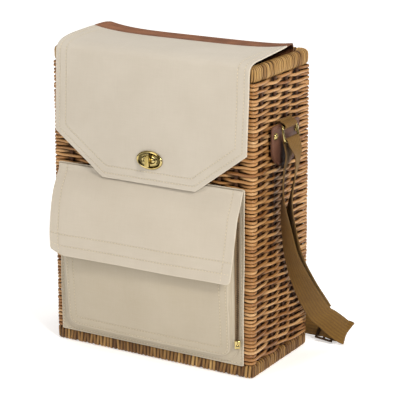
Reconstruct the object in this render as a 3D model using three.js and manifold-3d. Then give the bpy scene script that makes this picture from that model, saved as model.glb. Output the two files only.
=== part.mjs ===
// Picnic basket: a tall wicker case with a canvas flap, a front pocket and a webbing shoulder strap.
// Millimetres, +Z up, the front faces -Y, the origin is on the floor under the middle of the base.
import * as THREE from "three";
import { mergeVertices } from "three/addons/utils/BufferGeometryUtils.js";
import Module from "manifold-3d";

const wasm = await Module();
wasm.setup();

// Clearance between neighbouring pieces
const gap = 0.3;

// Wicker case
const caseHalfWidth = 150;
const caseHalfDepth = 76;
const caseHeight = 400;
const cornerRadius = 8;
const wallThickness = 9;
const baseThickness = 9;
const floorCorner = 3;
const footHeight = 18;
const footWidth = 11;
const footRound = 3;
const rimHeight = 22;
const rimWidth = 14;
const rimHalfWidth = 147.5;
const rimHalfDepth = 77;
const rimCorner = 12;
const rimRound = 6;

// Edges of the lid's top curl up with this power of the way from its middle
const curlPower = 4.7;

// Leather hinge band, from the seam with the flap over the back and down inside the rim
const bandThickness = 2.2;
const bandRows = [
  { y: 24.6, z: 401.8, half: 144.0, shift: -2.0, left: 6.8, right: 6.8 },
  { y: 34.0, z: 402.0, half: 142.8, shift: -2.3, left: 7.3, right: 7.2 },
  { y: 43.0, z: 402.0, half: 140.4, shift: -2.6, left: 7.7, right: 5.6 },
  { y: 50.5, z: 401.3, half: 136.6, shift: -2.2, left: 7.6, right: 3.4 },
  { y: 56.5, z: 399.3, half: 132.6, shift: -1.0, left: 5.0, right: 1.8 },
  { y: 60.1, z: 395.0, half: 130.0, shift: -0.2, left: 1.4, right: 0.6 },
  { y: 61.5, z: 388.0, half: 129.0, shift: 0.0, left: 0.0, right: 0.0 },
  { y: 61.6, z: 376.0, half: 129.0, shift: 0.0, left: 0.0, right: 0.0 },
];

// Canvas flap, from the seam with the band to the lower edge at the front
const flapThickness = 1.8;
const flapHalfWidth = 140.5;
const flapChamferTop = 291;
const flapBottom = 235;
const flapBottomHalf = 68.5;
const flapFaceY = -85.4;
const flapRows = [
  { y: 24.2, z: 401.8, half: 144.0, shift: -2.0, left: 6.8, right: 6.8 },
  { y: 8.0, z: 402.2, half: 143.7, shift: -1.8, left: 6.5, right: 4.9 },
  { y: -12.0, z: 402.9, half: 143.0, shift: -1.2, left: 5.4, right: 2.8 },
  { y: -32.0, z: 403.6, half: 142.2, shift: 0.0, left: 4.4, right: 0.8 },
  { y: -50.0, z: 404.0, half: 141.3, shift: 1.6, left: 3.3, right: -0.5 },
  { y: -65.0, z: 403.3, half: 140.7, shift: 3.0, left: 2.0, right: -0.5 },
  { y: -76.7, z: 399.2, half: 140.5, shift: 4.0, left: 0.8, right: 0.0 },
  { y: -80.4, z: 390.0, half: 140.5, shift: 4.0, left: 0.0, right: 0.0 },
  { y: -81.4, z: 362.0, half: 140.5, shift: 4.0, left: 0.0, right: 0.0 },
  { y: -83.6, z: 325.0, half: 140.5, shift: 4.0, left: 0.0, right: 0.0 },
  { y: flapFaceY, z: flapChamferTop, half: 140.5, shift: 4.0, left: 0.0, right: 0.0 },
  { y: flapFaceY, z: 263.0, half: 104.5, shift: 4.0, left: 0.0, right: 0.0 },
  { y: flapFaceY, z: flapBottom, half: 68.5, shift: 4.0, left: 0.0, right: 0.0 },
];

// Turn lock
const lockMiddle = 7;
const lockHeight = 269;
const lockPlateHalfX = 19;
const lockPlateHalfZ = 12;
const lockPlateThickness = 2.4;
const lockSlotHalfX = 9;
const lockSlotHalfZ = 4.2;
const flapSlotHalfX = 10.5;
const flapSlotHalfZ = 5.5;
const lockFootHalfX = 15;
const lockFootHalfZ = 8;
const lockFootThickness = 1.6;
const lockStemRadius = 1.9;
const toggleHalfX = 3.3;
const toggleHalfZ = 7.8;
const toggleDepth = 6.2;
const toggleBoreRadius = 2.3;
const toggleBoreDepth = 4;

// Front pocket
const canvasThickness = 1.6;
const pocketHalfWidth = 138;
const pocketBottom = 16.5;
const pocketTop = 250;
const pocketCorner = 2;
const gussetHalfWidth = 131;
const gussetBottom = 21;
const gussetTop = 224;
const gussetCorner = 20;
const panelHalfWidth = 122;
const panelBottom = 28;
const panelTop = 188;
const panelCorner = 14;
const panelCrown = 3;
const panelRows = [
  { z: 28, y: -83 },
  { z: 60, y: -86 },
  { z: 92, y: -88.5 },
  { z: 124, y: -91 },
  { z: 156, y: -92.5 },
  { z: 188, y: -92 },
];
const pocketFlapRows = [
  { y: -79.0, z: 248, half: 136.0, lean: 0.0 },
  { y: -80.6, z: 240, half: 135.8, lean: 0.4 },
  { y: -85.0, z: 230, half: 135.4, lean: 1.6 },
  { y: -92.5, z: 214, half: 134.8, lean: 3.2 },
  { y: -97.5, z: 196, half: 134.4, lean: 4.2 },
  { y: -101.5, z: 175, half: 134.0, lean: 4.5 },
  { y: -104.5, z: 155, half: 133.4, lean: 4.2 },
  { y: -107.0, z: 130.5, half: 131.8, lean: 3.0 },
];
const zipThickness = 0.8;
const zipFrom = 0.08;
const zipTo = 0.55;
const zipSliderPlace = 0.97;
const zipSliderHalf = 4;
const zipSliderLength = 12;
const zipSliderDepth = 4.5;

// Strap anchors on the side walls
const patchHalfWidth = 36;
const patchTop = 318;
const patchShoulder = 290;
const patchTip = 261;
const patchThickness = 2.2;
const rivetOffset = 27.5;
const rivetHeight = 305;
const rivetRadius = 4.6;
const rivetDome = 2.6;
const tabWidth = 30;
const ringWire = 1.6;
const ringHalf = 18.3;
const ringCorner = 3;
const ringTop = new THREE.Vector3(156.8, 0, 315);
const ringFoot = new THREE.Vector3(160.6, 0, 297);
const tabRows = [
  { x: 151.4, z: 323.6 },
  { x: 151.7, z: 322.0 },
  { x: 153.6, z: 320.3 },
  { x: 157.9, z: 318.7 },
  { x: 159.8, z: 315.2 },
  { x: 158.75, z: 313.05 },
  { x: 156.8, z: 312.2 },
  { x: 154.85, z: 313.05 },
  { x: 154.0, z: 315.0 },
  { x: 154.2, z: 316.6 },
];

// Shoulder strap: middle of the doubled webbing, direction across it, and half the space between strands
const webWidth = 32;
const webThickness = 1.6;
const barReach = 3.1;
const doubledRows = [
  { x: 160.6, y: 0, z: 297, heading: 90, tilt: 0, spread: 3.1 },
  { x: 161.4, y: -0.6, z: 290, heading: 92, tilt: 0, spread: 4.6 },
  { x: 165.4, y: -7, z: 276, heading: 109, tilt: 0, spread: 6.2 },
  { x: 168, y: -18, z: 256, heading: 119, tilt: 0, spread: 7 },
  { x: 167.5, y: -22, z: 228, heading: 122, tilt: 0, spread: 5 },
  { x: 166.6, y: -17, z: 195, heading: 132, tilt: 0, spread: 3.5 },
  { x: 169.1, y: -6.8, z: 152, heading: 148, tilt: -6, spread: 3 },
  { x: 170.5, y: 23.5, z: 102, heading: 170, tilt: -22, spread: 2.8 },
  { x: 173.2, y: 61.2, z: 54.9, heading: 188, tilt: -40, spread: 2.8 },
];
const foldRows = [
  { x: 181.2, y: 73.6, z: 39.5, heading: 204, tilt: -44 },
  { x: 188.8, y: 86.0, z: 26.4, heading: 230, tilt: -43 },
  { x: 194.2, y: 94.2, z: 18.4, heading: 247, tilt: -42 },
  { x: 196.4, y: 98.4, z: 16.0, heading: 252, tilt: -43 },
  { x: 194.8, y: 101.8, z: 15.6, heading: 256, tilt: -46 },
  { x: 189.4, y: 104.4, z: 15.4, heading: 260, tilt: -50 },
];
const sliderAt = new THREE.Vector3(167.6, 103.2, 17.6);
const sliderHeading = 262;
const sliderTilt = -50;
const sliderHalfAcross = 20;
const sliderBarAcross = 17;
const sliderPitch = 11.6;
const sliderBarHalf = 1.5;
const sliderThickness = 2.4;
const weaveDepth = 3;
const behindRows = [
  { x: 132.7, y: 108.4, z: 16.8, heading: 262, tilt: -70 },
  { x: 88.8, y: 110.2, z: 16.6, heading: 264, tilt: -82 },
  { x: 0, y: 107.5, z: 16.6, heading: 270, tilt: -86 },
  { x: -90, y: 109.5, z: 16.6, heading: 280, tilt: -84 },
  { x: -140, y: 110.5, z: 17.4, heading: 296, tilt: -78 },
  { x: -168, y: 99, z: 25, heading: 330, tilt: -66 },
  { x: -174, y: 70, z: 50, heading: 354, tilt: -46 },
  { x: -173, y: 33, z: 95, heading: 368, tilt: -22 },
  { x: -170, y: 6, z: 142, heading: 390, tilt: -6 },
  { x: -167.6, y: -2, z: 187, heading: 412, tilt: 0 },
  { x: -166.6, y: -3, z: 232, heading: 432, tilt: 0 },
  { x: -165.8, y: -1, z: 270, heading: 446, tilt: 0 },
  { x: -163.7, y: 0, z: 297, heading: 450, tilt: 0 },
];
const sewnEndRows = [
  { x: -157.5, y: 0, z: 297, heading: 450, tilt: 0 },
  { x: -160.8, y: -1, z: 270, heading: 446, tilt: 0 },
  { x: -163.2, y: -2, z: 243, heading: 436, tilt: 0 },
];

const colours = {
  wicker: 0xb9803f,
  cane: 0xbf9a58,
  canvas: 0xd6ccba,
  leather: 0x8a5a3c,
  brass: 0xb9924a,
  webbing: 0x806038,
  zip: 0x86694c,
  darkMetal: 0x3a332c,
};

const basket = new THREE.Group();
basket.name = "picnic_basket";

function addPiece(name, geometry, colour, roughness, metalness) {
  const material = new THREE.MeshStandardMaterial({ color: colour, roughness, metalness });
  const mesh = new THREE.Mesh(geometry, material);
  mesh.name = name;
  basket.add(mesh);
}

function welded(geometry) {
  geometry.deleteAttribute("normal");
  geometry.deleteAttribute("uv");
  return mergeVertices(geometry, 1e-4);
}

// A solid whose faces look inward has a negative volume, so its faces are turned round
function facingOut(geometry) {
  const points = geometry.getAttribute("position");
  const index = geometry.getIndex();
  const a = new THREE.Vector3();
  const b = new THREE.Vector3();
  const c = new THREE.Vector3();
  let volume = 0;
  for (let i = 0; i < index.count; i += 3) {
    a.fromBufferAttribute(points, index.getX(i));
    b.fromBufferAttribute(points, index.getX(i + 1));
    c.fromBufferAttribute(points, index.getX(i + 2));
    volume += a.dot(b.cross(c));
  }
  if (volume < 0) {
    for (let i = 0; i < index.count; i += 3) {
      const first = index.getX(i);
      index.setX(i, index.getX(i + 1));
      index.setX(i + 1, first);
    }
  }
  geometry.computeVertexNormals();
  return geometry;
}

function toManifold(geometry) {
  const clean = welded(geometry.clone());
  const mesh = new wasm.Mesh({
    numProp: 3,
    vertProperties: new Float32Array(clean.getAttribute("position").array),
    triVerts: new Uint32Array(clean.getIndex().array),
  });
  return new wasm.Manifold(mesh);
}

function fromManifold(solid) {
  const mesh = solid.getMesh();
  const geometry = new THREE.BufferGeometry();
  geometry.setAttribute("position", new THREE.BufferAttribute(new Float32Array(mesh.vertProperties), 3));
  geometry.setIndex(new THREE.BufferAttribute(new Uint32Array(mesh.triVerts), 1));
  geometry.computeVertexNormals();
  return geometry;
}

function mirrored(geometry) {
  const copy = welded(geometry.clone());
  copy.scale(-1, 1, 1);
  return facingOut(copy);
}

// Smooth value of one column of a table, t running from 0 to 1 over its rows
function smooth(rows, column, t) {
  const place = Math.min(Math.max(t, 0), 1) * (rows.length - 1);
  const i = Math.min(Math.floor(place), rows.length - 2);
  const f = place - i;
  const p1 = rows[i][column];
  const p2 = rows[i + 1][column];
  const p0 = i > 0 ? rows[i - 1][column] : 2 * p1 - p2;
  const p3 = i + 2 < rows.length ? rows[i + 2][column] : 2 * p2 - p1;
  const bend = (2 * p0 - 5 * p1 + 4 * p2 - p3) * f * f;
  const twist = (3 * p1 - p0 - 3 * p2 + p3) * f * f * f;
  return 0.5 * (2 * p1 + (p2 - p0) * f + bend + twist);
}

function straight(rows, column, t) {
  const place = Math.min(Math.max(t, 0), 1) * (rows.length - 1);
  const i = Math.min(Math.floor(place), rows.length - 2);
  return THREE.MathUtils.lerp(rows[i][column], rows[i + 1][column], place - i);
}

function steps(from, to, count) {
  return Array.from({ length: count + 1 }, (_, i) => from + ((to - from) * i) / count);
}

function rowSteps(rows, perRow) {
  return steps(0, 1, (rows.length - 1) * perRow);
}

function sheetNormal(pointAt, u, v) {
  const du = 1e-3;
  const alongU = pointAt(u + du, v).sub(pointAt(u - du, v));
  const alongV = pointAt(u, v + du).sub(pointAt(u, v - du));
  return alongU.cross(alongV).normalize();
}

// A sheet of even thickness about the surface that pointAt gives
function sheetSolid(pointAt, us, vs, thickness) {
  const positions = [];
  for (const side of [0.5, -0.5]) {
    for (const v of vs) {
      for (const u of us) {
        const point = pointAt(u, v).addScaledVector(sheetNormal(pointAt, u, v), side * thickness);
        positions.push(point.x, point.y, point.z);
      }
    }
  }
  const columns = us.length;
  const layer = columns * vs.length;
  const index = [];
  const quad = (a, b, c, d) => index.push(a, b, c, a, c, d);
  for (let j = 0; j + 1 < vs.length; j += 1) {
    for (let i = 0; i + 1 < columns; i += 1) {
      const a = j * columns + i;
      quad(a, a + 1, a + 1 + columns, a + columns);
      quad(layer + a, layer + a + columns, layer + a + 1 + columns, layer + a + 1);
    }
  }
  const lastRow = columns * (vs.length - 1);
  for (let i = 0; i + 1 < columns; i += 1) {
    quad(i, layer + i, layer + i + 1, i + 1);
    quad(lastRow + i, lastRow + i + 1, layer + lastRow + i + 1, layer + lastRow + i);
  }
  for (let j = 0; j + 1 < vs.length; j += 1) {
    const left = j * columns;
    const right = left + columns - 1;
    quad(left, left + columns, layer + left + columns, layer + left);
    quad(right, layer + right, layer + right + columns, right + columns);
  }
  const geometry = new THREE.BufferGeometry();
  geometry.setAttribute("position", new THREE.Float32BufferAttribute(positions, 3));
  geometry.setIndex(index);
  return facingOut(geometry);
}

function roundedRect(path, halfX, halfY, radius) {
  path.moveTo(halfX, -halfY + radius);
  path.lineTo(halfX, halfY - radius);
  path.absarc(halfX - radius, halfY - radius, radius, 0, Math.PI / 2, false);
  path.lineTo(-halfX + radius, halfY);
  path.absarc(-halfX + radius, halfY - radius, radius, Math.PI / 2, Math.PI, false);
  path.lineTo(-halfX, -halfY + radius);
  path.absarc(-halfX + radius, -halfY + radius, radius, Math.PI, 1.5 * Math.PI, false);
  path.lineTo(halfX - radius, -halfY);
  path.absarc(halfX - radius, -halfY + radius, radius, 1.5 * Math.PI, 2 * Math.PI, false);
  return path;
}

function extruded(shape, depth, round, curveSegments, bevelSegments) {
  const geometry = new THREE.ExtrudeGeometry(shape, {
    depth: depth - 2 * round,
    curveSegments,
    bevelEnabled: round > 0,
    bevelThickness: round,
    bevelSize: round,
    bevelOffset: -round,
    bevelSegments,
  });
  geometry.translate(0, 0, round);
  return facingOut(welded(geometry));
}

// A ring that follows the plan of the case, outside face at the half sizes given
function planRing(halfX, halfY, radius, width, bottom, height, round) {
  const shape = roundedRect(new THREE.Shape(), halfX, halfY, radius);
  const inner = Math.max(radius - width, floorCorner);
  shape.holes.push(roundedRect(new THREE.Path(), halfX - width, halfY - width, inner));
  const geometry = extruded(shape, height, round, 4, 2);
  geometry.translate(0, 0, bottom);
  return geometry;
}

// Extruded along -Y, with the outline read as x and z
function frontPiece(shape, backY, depth, round) {
  const geometry = extruded(shape, depth, round, 8, 2);
  geometry.rotateX(Math.PI / 2);
  geometry.translate(0, backY, 0);
  return geometry;
}

function lockOval(path, halfX, halfZ, height) {
  path.absellipse(lockMiddle, height, halfX, halfZ, 0, 2 * Math.PI, false, 0);
  return path;
}

function lockRod(radius, backY, frontY, height) {
  const rod = new THREE.CylinderGeometry(radius, radius, backY - frontY, 24);
  rod.translate(lockMiddle, (backY + frontY) / 2, height);
  return rod;
}

function addCase() {
  const wallBottom = footHeight + gap;
  const wallTop = caseHeight - rimHeight - gap;
  const floor = roundedRect(
    new THREE.Shape(),
    caseHalfWidth - footWidth - gap,
    caseHalfDepth - footWidth - gap,
    floorCorner,
  );
  addPiece("base_panel", extruded(floor, baseThickness, 0, 5, 1), colours.wicker, 0.7, 0);
  addPiece(
    "bottom_border",
    planRing(caseHalfWidth, caseHalfDepth, cornerRadius, footWidth, 0, footHeight, footRound),
    colours.cane,
    0.6,
    0,
  );
  addPiece(
    "woven_wall",
    planRing(
      caseHalfWidth,
      caseHalfDepth,
      cornerRadius,
      wallThickness,
      wallBottom,
      wallTop - wallBottom,
      0,
    ),
    colours.wicker,
    0.6,
    0,
  );
  addPiece(
    "top_border",
    planRing(
      rimHalfWidth,
      rimHalfDepth,
      rimCorner,
      rimWidth,
      caseHeight - rimHeight,
      rimHeight,
      rimRound,
    ),
    colours.cane,
    0.6,
    0,
  );
}

// One point of the lid, u across from its left edge to its right, v along its rows
function lidPoint(rows, half, u, v) {
  const rise = u < 0 ? straight(rows, "left", v) : straight(rows, "right", v);
  const x = straight(rows, "shift", v) + u * half;
  const z = smooth(rows, "z", v) + rise * Math.abs(u) ** curlPower;
  return new THREE.Vector3(x, smooth(rows, "y", v), z);
}

function bandPoint(u, v) {
  return lidPoint(bandRows, straight(bandRows, "half", v), u, v);
}

function addBand() {
  const sheet = sheetSolid(bandPoint, steps(-1, 1, 20), rowSteps(bandRows, 2), bandThickness);
  addPiece("back_band", sheet, colours.leather, 0.6, 0);
}

function flapPoint(u, v) {
  const y = smooth(flapRows, "y", v);
  const z = smooth(flapRows, "z", v);
  const onFront = y < -80 && z < flapChamferTop;
  const cut = (flapChamferTop - z) / (flapChamferTop - flapBottom);
  const half = onFront
    ? THREE.MathUtils.lerp(flapHalfWidth, flapBottomHalf, cut)
    : straight(flapRows, "half", v);
  return lidPoint(flapRows, half, u, v);
}

function addFlap() {
  const sheet = sheetSolid(flapPoint, steps(-1, 1, 20), rowSteps(flapRows, 3), flapThickness);
  const slotShape = lockOval(new THREE.Shape(), flapSlotHalfX, flapSlotHalfZ, lockHeight);
  const slot = frontPiece(slotShape, flapFaceY + 10, 20, 0);
  addPiece("flap", fromManifold(toManifold(sheet).subtract(toManifold(slot))), colours.canvas, 0.9, 0);
}

function addLock() {
  const plateBack = flapFaceY - flapThickness / 2 - 1.5 * gap;
  const plateFront = plateBack - lockPlateThickness;
  const toggleBack = plateFront - 0.4;
  const plateShape = lockOval(new THREE.Shape(), lockPlateHalfX, lockPlateHalfZ, lockHeight);
  plateShape.holes.push(lockOval(new THREE.Path(), lockSlotHalfX, lockSlotHalfZ, lockHeight));
  addPiece("lock_plate", frontPiece(plateShape, plateBack, lockPlateThickness, 0.8), colours.brass, 0.3, 1);

  const footBack = -caseHalfDepth - gap;
  const footShape = lockOval(new THREE.Shape(), lockFootHalfX, lockFootHalfZ, lockHeight);
  const foot = frontPiece(footShape, footBack, lockFootThickness, 0);
  const stemFront = toggleBack - toggleBoreDepth + gap;
  const stem = lockRod(lockStemRadius, footBack - lockFootThickness / 2, stemFront, lockHeight);
  addPiece("lock_post", fromManifold(toManifold(foot).add(toManifold(stem))), colours.brass, 0.3, 1);

  const barShape = new THREE.Shape();
  const straightHalf = toggleHalfZ - toggleHalfX;
  barShape.absarc(lockMiddle, lockHeight + straightHalf, toggleHalfX, 0, Math.PI, false);
  barShape.absarc(lockMiddle, lockHeight - straightHalf, toggleHalfX, Math.PI, 2 * Math.PI, false);
  const bar = frontPiece(barShape, toggleBack, toggleDepth, 1.1);
  const bore = lockRod(toggleBoreRadius, toggleBack + 1, toggleBack - toggleBoreDepth, lockHeight);
  addPiece("lock_toggle", fromManifold(toManifold(bar).subtract(toManifold(bore))), colours.brass, 0.25, 1);
}

function panelY(z) {
  return smooth(panelRows, "y", (z - panelBottom) / (panelTop - panelBottom));
}

// One point of a U outline: right side, corner, bottom, corner, left side, each one unit of k
function uOutline(half, bottom, radius, top, k) {
  const leg = Math.min(Math.floor(Math.max(k, 0)), 4);
  const f = k - leg;
  const turn = (Math.PI / 2) * f;
  if (leg === 0) {
    return [half, THREE.MathUtils.lerp(top, bottom + radius, f)];
  }
  if (leg === 1) {
    return [half - radius * (1 - Math.cos(turn)), bottom + radius * (1 - Math.sin(turn))];
  }
  if (leg === 2) {
    return [THREE.MathUtils.lerp(half - radius, -half + radius, f), bottom];
  }
  if (leg === 3) {
    return [-half + radius * (1 - Math.sin(turn)), bottom + radius * (1 - Math.cos(turn))];
  }
  return [-half, THREE.MathUtils.lerp(bottom + radius, top, f)];
}

// From the seam on the back panel, across = 0, to the edge of the front panel, across = 1
function gussetPoint(across, k) {
  const [seamX, seamZ] = uOutline(gussetHalfWidth, gussetBottom, gussetCorner, gussetTop, k);
  const [edgeX, edgeZ] = uOutline(panelHalfWidth - 1, panelBottom + 1, panelCorner, panelTop, k);
  const seamY = -caseHalfDepth - 2 * gap - canvasThickness - 0.7;
  const edgeY = panelY(edgeZ) + canvasThickness / 2 + 1;
  const bow = 2.5 * Math.sin(Math.PI * across);
  const point = new THREE.Vector3(seamX, seamY, seamZ).lerp(new THREE.Vector3(edgeX, edgeY, edgeZ), across);
  const low = THREE.MathUtils.clamp((seamZ - gussetBottom) / gussetCorner, 0, 1);
  point.x += Math.sign(seamX) * bow * low;
  return point;
}

function pocketFlapPoint(u, v) {
  const half = smooth(pocketFlapRows, "half", v);
  const y = smooth(pocketFlapRows, "y", v) + u * smooth(pocketFlapRows, "lean", v);
  return new THREE.Vector3(u * half, y, smooth(pocketFlapRows, "z", v));
}

function panelPoint(u, v) {
  const z = THREE.MathUtils.lerp(panelBottom, panelTop, v);
  const below = THREE.MathUtils.clamp(panelBottom + panelCorner - z, 0, panelCorner);
  const half = panelHalfWidth - panelCorner + Math.sqrt(panelCorner ** 2 - below ** 2);
  return new THREE.Vector3(u * half, panelY(z) - panelCrown * (1 - u * u), z);
}

function addPocket() {
  const backShape = roundedRect(
    new THREE.Shape(),
    pocketHalfWidth,
    (pocketTop - pocketBottom) / 2,
    pocketCorner,
  );
  const back = frontPiece(backShape, -caseHalfDepth - gap, canvasThickness, 0);
  back.translate(0, 0, (pocketTop + pocketBottom) / 2);
  addPiece("pocket_back", back, colours.canvas, 0.9, 0);

  const legs = [
    ...steps(0, 1, 6),
    ...steps(1, 2, 4).slice(1),
    ...steps(2, 3, 6).slice(1),
    ...steps(3, 4, 4).slice(1),
    ...steps(4, 5, 6).slice(1),
  ];
  addPiece(
    "pocket_gusset",
    sheetSolid(gussetPoint, steps(0, 1, 4), legs, canvasThickness - 0.2),
    colours.canvas,
    0.9,
    0,
  );
  const panelHeights = [0, 0.006, 0.02, 0.045, 0.0875, ...steps(0.0875, 1, 6).slice(1)];
  addPiece(
    "pocket_front",
    sheetSolid(panelPoint, steps(-1, 1, 12), panelHeights, canvasThickness),
    colours.canvas,
    0.9,
    0,
  );
  addPiece(
    "pocket_flap",
    sheetSolid(pocketFlapPoint, steps(-1, 1, 10), rowSteps(pocketFlapRows, 2), canvasThickness),
    colours.canvas,
    0.9,
    0,
  );
}

function outwardFromGusset(across, k) {
  const normal = sheetNormal(gussetPoint, across, k);
  return normal.x < 0 ? normal.negate() : normal;
}

function addZip() {
  const lift = canvasThickness / 2 + gap + zipThickness / 2 + 0.1;
  const tapePoint = (across, k) =>
    gussetPoint(across, k).addScaledVector(outwardFromGusset(across, k), lift);
  addPiece(
    "zip_tape",
    sheetSolid(tapePoint, steps(zipFrom, zipTo, 2), steps(0.02, 1, 6), zipThickness),
    colours.zip,
    0.8,
    0,
  );
  const middle = (zipFrom + zipTo) / 2;
  const normal = outwardFromGusset(middle, zipSliderPlace);
  const seat = gussetPoint(middle, zipSliderPlace).addScaledVector(normal, lift + zipThickness / 2 + 0.5);
  const outline = roundedRect(new THREE.Shape(), zipSliderHalf, zipSliderLength / 2, 2.5);
  const slider = extruded(outline, zipSliderDepth, 1.2, 4, 2);
  const down = new THREE.Vector3(0, 0, 1);
  const acrossAxis = new THREE.Vector3().crossVectors(down, normal).normalize();
  const alongAxis = new THREE.Vector3().crossVectors(normal, acrossAxis);
  slider.applyMatrix4(new THREE.Matrix4().makeBasis(acrossAxis, alongAxis, normal).setPosition(seat));
  addPiece("zip_slider", slider, colours.brass, 0.3, 1);
}

function acrossDirection(heading, tilt) {
  const turn = THREE.MathUtils.degToRad(heading);
  const lean = THREE.MathUtils.degToRad(tilt);
  return new THREE.Vector3(
    Math.cos(lean) * Math.cos(turn),
    Math.cos(lean) * Math.sin(turn),
    Math.sin(lean),
  );
}

// A flat band swept through stations that hold its middle and the direction across it
function bandSolid(stations, width, thickness) {
  const positions = [];
  for (const side of [0.5, -0.5]) {
    stations.forEach((station, i) => {
      const before = stations[Math.max(i - 1, 0)].middle;
      const after = stations[Math.min(i + 1, stations.length - 1)].middle;
      const tangent = after.clone().sub(before).normalize();
      const across = station.across.clone().addScaledVector(tangent, -station.across.dot(tangent)).normalize();
      const normal = new THREE.Vector3().crossVectors(tangent, across);
      for (const u of [-0.5, 0.5]) {
        const corner = station.middle.clone();
        corner.addScaledVector(across, u * width).addScaledVector(normal, side * thickness);
        positions.push(corner.x, corner.y, corner.z);
      }
    });
  }
  const layer = 2 * stations.length;
  const index = [];
  const quad = (a, b, c, d) => index.push(a, b, c, a, c, d);
  for (let i = 0; i + 1 < stations.length; i += 1) {
    const a = 2 * i;
    quad(a, a + 1, a + 3, a + 2);
    quad(layer + a, layer + a + 2, layer + a + 3, layer + a + 1);
    quad(a, a + 2, layer + a + 2, layer + a);
    quad(a + 1, layer + a + 1, layer + a + 3, a + 3);
  }
  const last = layer - 2;
  quad(0, layer, layer + 1, 1);
  quad(last, last + 1, layer + last + 1, layer + last);
  const geometry = new THREE.BufferGeometry();
  geometry.setAttribute("position", new THREE.Float32BufferAttribute(positions, 3));
  geometry.setIndex(index);
  return facingOut(geometry);
}

function tableStations(rows, perRow) {
  return rowSteps(rows, perRow).map((t) => ({
    middle: new THREE.Vector3(smooth(rows, "x", t), smooth(rows, "y", t), smooth(rows, "z", t)),
    across: acrossDirection(smooth(rows, "heading", t), smooth(rows, "tilt", t)),
  }));
}

// One strand of the doubled webbing, side +1 away from the wall and -1 next to it
function strandRows(side) {
  return doubledRows.map((row) => {
    const turn = THREE.MathUtils.degToRad(row.heading);
    return {
      ...row,
      x: row.x + side * row.spread * Math.sin(turn),
      y: row.y - side * row.spread * Math.cos(turn),
    };
  });
}

function addAnchors() {
  const wallX = caseHalfWidth + gap;
  const patchShape = new THREE.Shape();
  patchShape.moveTo(patchHalfWidth - 4, patchTop);
  patchShape.quadraticCurveTo(patchHalfWidth, patchTop, patchHalfWidth, patchTop - 4);
  patchShape.lineTo(patchHalfWidth, patchShoulder);
  patchShape.quadraticCurveTo(patchHalfWidth, patchTip + 7, 0, patchTip);
  patchShape.quadraticCurveTo(-patchHalfWidth, patchTip + 7, -patchHalfWidth, patchShoulder);
  patchShape.lineTo(-patchHalfWidth, patchTop - 4);
  patchShape.quadraticCurveTo(-patchHalfWidth, patchTop, -patchHalfWidth + 4, patchTop);
  const sideways = new THREE.Matrix4().makeBasis(
    new THREE.Vector3(0, 1, 0),
    new THREE.Vector3(0, 0, 1),
    new THREE.Vector3(1, 0, 0),
  );
  const patch = extruded(patchShape, patchThickness, 0, 8, 1);
  patch.applyMatrix4(sideways.clone().setPosition(wallX, 0, 0));

  const dome = [
    new THREE.Vector2(0, 0),
    new THREE.Vector2(rivetRadius, 0),
    new THREE.Vector2(rivetRadius, 0.3 * rivetDome),
    new THREE.Vector2(0.8 * rivetRadius, 0.7 * rivetDome),
    new THREE.Vector2(0.42 * rivetRadius, 0.95 * rivetDome),
    new THREE.Vector2(0, rivetDome),
  ];
  const rivetAt = (y) => {
    const rivet = facingOut(welded(new THREE.LatheGeometry(dome, 20)));
    rivet.rotateZ(-Math.PI / 2);
    rivet.translate(wallX + patchThickness + gap, y, rivetHeight);
    return rivet;
  };

  const tabStations = rowSteps(tabRows, 3).map((t) => ({
    middle: new THREE.Vector3(smooth(tabRows, "x", t), 0, smooth(tabRows, "z", t)),
    across: new THREE.Vector3(0, 1, 0),
  }));
  const tab = bandSolid(tabStations, tabWidth, webThickness);

  const fall = ringFoot.clone().sub(ringTop);
  const reach = fall.length() / 2;
  const centre = ringTop.clone().addScaledVector(fall, 0.5);
  const outline = roundedRect(new THREE.Path(), ringHalf, reach, ringCorner).getSpacedPoints(64);
  const around = outline.slice(0, -1).map((at) => {
    return centre.clone().addScaledVector(fall.clone().normalize(), at.y).add(new THREE.Vector3(0, at.x, 0));
  });
  const wirePath = new THREE.CatmullRomCurve3(around, true, "centripetal");
  const ring = facingOut(welded(new THREE.TubeGeometry(wirePath, 64, ringWire, 8, true)));

  addPiece("strap_patch_right", patch, colours.leather, 0.6, 0);
  addPiece("strap_patch_left", mirrored(patch), colours.leather, 0.6, 0);
  addPiece("rivet_right_front", rivetAt(-rivetOffset), colours.brass, 0.3, 1);
  addPiece("rivet_right_back", rivetAt(rivetOffset), colours.brass, 0.3, 1);
  addPiece("rivet_left_front", mirrored(rivetAt(-rivetOffset)), colours.brass, 0.3, 1);
  addPiece("rivet_left_back", mirrored(rivetAt(rivetOffset)), colours.brass, 0.3, 1);
  addPiece("strap_tab_right", tab, colours.webbing, 0.9, 0);
  addPiece("strap_tab_left", mirrored(tab), colours.webbing, 0.9, 0);
  addPiece("strap_ring_right", ring, colours.brass, 0.3, 1);
  addPiece("strap_ring_left", mirrored(ring), colours.brass, 0.3, 1);
}

// Over the lower bar of a ring, from outside to the wall side; side is +1 right and -1 left
function overBar(side) {
  return steps(20, 160, 7).map((angle) => {
    const turn = THREE.MathUtils.degToRad(angle);
    return {
      middle: new THREE.Vector3(
        side * (ringFoot.x + barReach * Math.cos(turn)),
        0,
        ringFoot.z + barReach * Math.sin(turn),
      ),
      across: new THREE.Vector3(0, 1, 0),
    };
  });
}

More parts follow.
